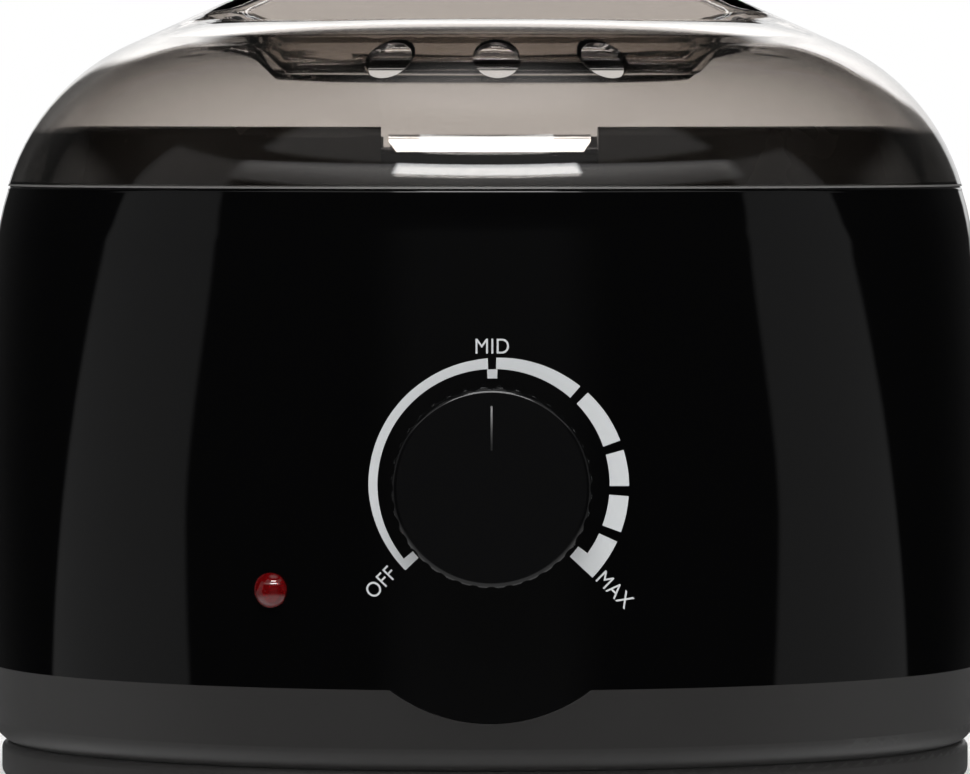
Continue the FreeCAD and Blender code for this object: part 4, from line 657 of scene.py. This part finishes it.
# %% [markdown]
# Generic words name the ends and the middle of the scale. They are text objects, made a mesh while
# they still lie flat, stood up in front of the wall and laid on it like the scale.

# %% Words
CAPITAL = 0.69  # height of a capital letter, as a share of the text's size
WORD_HEIGHT = 2.55
LETTER_GAP = 1.05
NARROW = 0.9


def word(text, x, z, turn):
    """A word about a point of the wall, turned by some degrees."""
    bpy.ops.object.select_all(action="DESELECT")
    bpy.ops.object.text_add()
    piece = bpy.context.object
    piece.data.body = text
    piece.data.align_x = piece.data.align_y = "CENTER"
    piece.data.size = WORD_HEIGHT * MM / CAPITAL
    piece.data.space_character = LETTER_GAP
    bpy.ops.object.convert(target="MESH")
    piece = bpy.context.object
    piece.name = piece.data.name = f"dial_word_{text.lower()}"
    piece.scale.x = NARROW
    piece.rotation_euler = (math.radians(90), math.radians(turn), 0)
    piece.location = (x * MM, IN_FRONT * MM, z * MM)
    lay_on_wall(piece)


word("MID", 0.26, 82.41, 0)
word("OFF", -18.65, 42.14, -46)
word("MAX", 21.1, 40.9, 45)

# %% [markdown]
# The knob's pointer is a fine groove in its face. The grey line that light draws along it, fading
# towards the middle of the knob, is a painted highlight: a narrow bar on the groove's floor, grey
# at its outer end and going to the knob's black towards the middle, whose outer end stands a little
# higher, as the face does there. It turns with the knob.

# %% Pointer's bar
GROOVE_Y, GROOVE_Z = -105.5, 69.1
GROOVE_BAR = (0.32, 0.2, 7.5)  # width, depth and length
RAISED = 0.22  # how much higher the outer end stands
bpy.ops.object.select_all(action="DESELECT")
bpy.ops.mesh.primitive_cube_add(
    size=1, location=(0, GROOVE_Y * MM, GROOVE_Z * MM), scale=[v * MM for v in GROOVE_BAR]
)
bpy.ops.object.transform_apply(location=True, rotation=True, scale=True)
pointer = bpy.context.object
pointer.name = pointer.data.name = "knob_pointer"
for vertex in pointer.data.vertices:
    vertex.select = vertex.co.z > GROOVE_Z * MM and vertex.co.y < GROOVE_Y * MM
for part in (*pointer.data.edges, *pointer.data.polygons):
    part.select = False
bpy.ops.object.mode_set(mode="EDIT")
bpy.ops.transform.translate(value=(0, -RAISED * MM, 0))
edit_done()
print("pointer:", [round(v / MM, 2) for v in pointer.dimensions])

# %% Painted highlight on the pointer
# The bar's colour is a painted highlight, grey at its outer end and fading to the knob's black
# towards the middle.
FADED_END, BRIGHT_END = 65.3, 72.6
FADE_CURVE = 2.2  # the higher, the nearer to the outer end the paint begins
groove_highlight = finish("pointer_painted_highlight", (0.012, 0.012, 0.012), 0.4)
highlight_share = by_height(groove_highlight, FADED_END, BRIGHT_END)
turn_to(groove_highlight, (0.32, 0.32, 0.32), maths(groove_highlight.node_tree, "POWER", highlight_share, FADE_CURVE))
pointer.data.materials.append(groove_highlight)
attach(pointer, "dial")

# %% [markdown]
# Studio light for glossy black. The reflections are painted on the sky, by direction, and each
# part of the sky is a product of soft steps in elevation and azimuth. Elevation is in degrees
# above the horizon. Azimuth is in degrees from the front, and the same on both sides.

# %% Directions in the sky
world = bpy.data.worlds.new("studio")
bpy.context.scene.world = world
world.use_nodes = True
sky = world.node_tree
sky.nodes.clear()
where = sky.nodes.new("ShaderNodeTexCoord")
split = sky.nodes.new("ShaderNodeSeparateXYZ")
sky.links.new(where.outputs["Generated"], split.inputs[0])
x, y, z = split.outputs
elevation = maths(sky, "DEGREES", maths(sky, "ARCSINE", z))
from_front = maths(sky, "ARCTAN2", maths(sky, "ABSOLUTE", x), maths(sky, "MULTIPLY", y, -1))
azimuth = maths(sky, "DEGREES", from_front)
print("sky coordinates ready")


# %% Helpers of the sky
def chain(operation, terms):
    """One Math node after the other, over all the terms."""
    made, *rest = terms
    for term in rest:
        made = maths(sky, operation, made, term)
    return made


def lit(*shares):
    """The shares multiplied together."""
    return chain("MULTIPLY", shares)


def added(*terms):
    """The terms added together."""
    return chain("ADD", terms)


def larger(*terms):
    """The largest of the terms."""
    return chain("MAXIMUM", terms)


def without(share):
    """What is left of 1 without the share."""
    return maths(sky, "SUBTRACT", 1, share)


def ramp(value, start, end, low=0.0, high=1.0):
    """A smooth step from low to high as value goes from start to end."""
    return stretch(sky, value, start, end, low, high, "SMOOTHSTEP")


def between(value, low, high, soft):
    """1 where value is from low to high, with soft edges."""
    rises = ramp(value, added(low, -soft), added(low, soft))
    return lit(rises, ramp(value, added(high, -soft), added(high, soft), 1.0, 0.0))


# %% [markdown]
# A tall grey panel stands on each side of the warmer, and the barrel mirrors it as a wide strip.
# Its edges lean with the elevation, and the panel on the right stands a few degrees further
# forward.

# %% Side panels
PANEL_LIGHT = 0.19
on_right = ramp(x, -0.001, 0.001)
near = added(
    ramp(elevation, -3, 9, 72.5, 66.8), ramp(elevation, 12, 25, 0.0, 2.6), lit(on_right, -2.7)
)
far_low = added(110, lit(elevation, -1.5))
far_high = added(101.6, lit(elevation, -0.1))
far = added(larger(far_low, far_high), lit(on_right, -6))
side_panels = lit(between(azimuth, near, far, 1.0), ramp(elevation, 36, 39, 1.0, 0.0), PANEL_LIGHT)

# %% [markdown]
# In front, a box hangs above the camera, and its upper edge droops to the sides. It lays an even
# grey over the lid's foot, before the dark collar. Behind, white paper rises to 31 degrees. The
# lid's crest mirrors it as a bright line, and the paper's two edges set where that line ends on
# each side.

# %% Front box and backdrop
brow = added(43.6, lit(azimuth, azimuth, -0.0011))
front_box = lit(
    between(elevation, 30.3, brow, 0.8),
    ramp(azimuth, 68, 73, 1.0, 0.0),
    ramp(elevation, 30, 44, 0.35, 1.4),
)
left_edge = added(ramp(elevation, 8, 22, 170.6, 165.5), ramp(elevation, 22, 26, 0.0, 3.0))
right_edge = added(ramp(elevation, 9, 17, 163.0, 159.0), ramp(elevation, 22, 25, 0.0, 8.0))
edge = added(lit(right_edge, on_right), lit(left_edge, without(on_right)))
backdrop = lit(
    ramp(azimuth, added(edge, -1.5), added(edge, 1.5)),
    ramp(elevation, -1, 2),
    ramp(elevation, 26, 31, 1.0, 0.0),
    ramp(elevation, 2, 30, 0.9, 2.0),
)

# %% [markdown]
# Two narrow bars of light hang over the front, and the lid's face mirrors them as two short bright
# strips, one above the other. A faint veil lies round the higher bar.

# %% Bars
HIGH_BAR, HIGH_BAR_LIGHT = (51, 59.6), 9.5
LOW_BAR, LOW_BAR_LIGHT = (38, 43.6), 11.5
VEIL_LIGHT = 0.3
bar_end = ramp(elevation, *HIGH_BAR, 19.4, 24)
high_bar = lit(
    between(elevation, *HIGH_BAR, 0.5),
    ramp(azimuth, bar_end, added(bar_end, 1.2), 1.0, 0.0),
    HIGH_BAR_LIGHT,
)
low_bar = lit(
    between(elevation, *LOW_BAR, 0.5), ramp(azimuth, 25, 26.6, 1.0, 0.0), LOW_BAR_LIGHT
)
veil = lit(between(elevation, 44, 61, 1), ramp(azimuth, 68, 73, 1.0, 0.0), VEIL_LIGHT)

# %% [markdown]
# The rest is nearly dark: a trace of light in front, a trace towards the back, and soft light from
# straight above and from far below. All the parts are added up.

# %% Faint light and the sum
FAR_LIGHT = 0.6
dim = lit(ramp(azimuth, 14, 30, 0.045, 0.004), ramp(elevation, 15, 25, 1.0, 0.0))
side_glow = ramp(azimuth, 120, 160, 0.0, 0.015)
overhead = ramp(elevation, 66, 82, 0.0, FAR_LIGHT)
below = ramp(elevation, -40, -15, FAR_LIGHT, 0.0)
glow = added(
    side_panels, front_box, backdrop, high_bar, low_bar, veil, dim, side_glow, overhead, below
)
print("sky nodes:", len(sky.nodes))

# %% [markdown]
# The glow is only for what is mirrored. What the camera sees past the object, or straight through
# its lid, is plain white paper, and matt surfaces are lit by an even half light. A Light Path node
# tells these rays apart. Two things need care in the lid. Rays that come out of its foot just
# under the horizon see dark, as they would at the edge of a table. Rays that are mirrored once
# inside its wall and leave it towards the back see a third of the paper, or else the lid's outline
# would be black.

# %% What each kind of ray sees
HALF_LIGHT = 0.55
WALL_LIGHT = 0.35
path = sky.nodes.new("ShaderNodeLightPath")
is_camera = path.outputs["Is Camera Ray"]
is_diffuse = path.outputs["Is Diffuse Ray"]
is_through = path.outputs["Is Transmission Ray"]
scattered = maths(sky, "MINIMUM", path.outputs["Diffuse Depth"], 1)
mirrored = maths(sky, "MINIMUM", path.outputs["Glossy Depth"], 1)
straight = lit(is_through, without(mirrored))
level = larger(ramp(elevation, -0.2, 0.0, 0.02, 1.0), ramp(elevation, -5, -4, 1.0, 0.0))
seen = larger(is_camera, lit(straight, without(scattered), level))
spread_out = larger(is_diffuse, lit(straight, scattered))
wall_only = lit(
    is_through,
    mirrored,
    without(scattered),
    maths(sky, "LESS_THAN", path.outputs["Transmission Depth"], 2.5),
    ramp(azimuth, 100, 120),
    ramp(elevation, -1, 1),
    ramp(elevation, 18, 26, 1.0, 0.0),
)
other = without(larger(is_camera, straight, spread_out))
strength = larger(lit(spread_out, HALF_LIGHT), seen, lit(wall_only, WALL_LIGHT), lit(glow, other))

# %% Paint the sky
paint = sky.nodes.new("ShaderNodeBackground")
paint.inputs["Color"].default_value = (1, 1, 1, 1)
sky.links.new(strength, paint.inputs["Strength"])
sheet = sky.nodes.new("ShaderNodeOutputWorld")
sky.links.new(paint.outputs[0], sheet.inputs[0])
print("sky nodes with the ray part:", len(sky.nodes))

# %% [markdown]
# The warmer stands on a pale table top, which isn't part of the object. It catches the soft shadow,
# but glossy things don't mirror it, as dark cards would hide it from them in a studio.

# %% Table top
bpy.ops.object.select_all(action="DESELECT")
bpy.ops.mesh.primitive_circle_add(vertices=96, radius=6, fill_type="NGON", location=(0, 0, 0))
table = bpy.context.object
table.name = "table_top"
pale = finish("pale_table", (0.86, 0.86, 0.855), 0.6, grain=0.02, grain_size=2)
table.data.materials.append(pale)
table.visible_glossy = table.visible_transmission = False
print("stage:", table.name)

# %% [markdown]
# The camera stands 1.6 m away behind a long lens, a little above the warmer's middle and a hair to
# the left, and looks slightly down. The Standard view keeps white paper white.

# %% Camera
CAMERA_PLACE = Vector((-16.86, -1609.9, 120)) * MM
CAMERA_AIM = Vector((0, 0, 73)) * MM
optics = bpy.data.cameras.new("camera")
optics.lens = 331.6
optics.sensor_width = 36
optics.clip_end = 50
camera = bpy.data.objects.new("camera", optics)
bpy.context.scene.collection.objects.link(camera)
camera.location = CAMERA_PLACE
camera.rotation_euler = (CAMERA_AIM - CAMERA_PLACE).to_track_quat("-Z", "Y").to_euler()
bpy.context.scene.camera = camera
bpy.context.scene.view_settings.view_transform = "Standard"
print("camera at:", [round(v, 3) for v in camera.location])

# %% [markdown]
# One broad lamp overhead casts the soft shadow on the table. It stays out of every mirror, where
# the painted sky does all the work.

# %% Lamp overhead
LAMP_PLACE = Vector((0, -0.5, 1.6))
LAMP_AIM = Vector((0, 0, 0.08))
lamp = bpy.data.lights.new("overhead", "AREA")
lamp.shape = "RECTANGLE"
lamp.size, lamp.size_y, lamp.energy = 0.7, 0.35, 12
holder = bpy.data.objects.new("overhead", lamp)
bpy.context.scene.collection.objects.link(holder)
holder.location = LAMP_PLACE
holder.rotation_euler = (LAMP_AIM - LAMP_PLACE).to_track_quat("-Z", "Y").to_euler()
holder.visible_glossy = holder.visible_transmission = holder.visible_camera = False
print("lamp power:", lamp.energy)
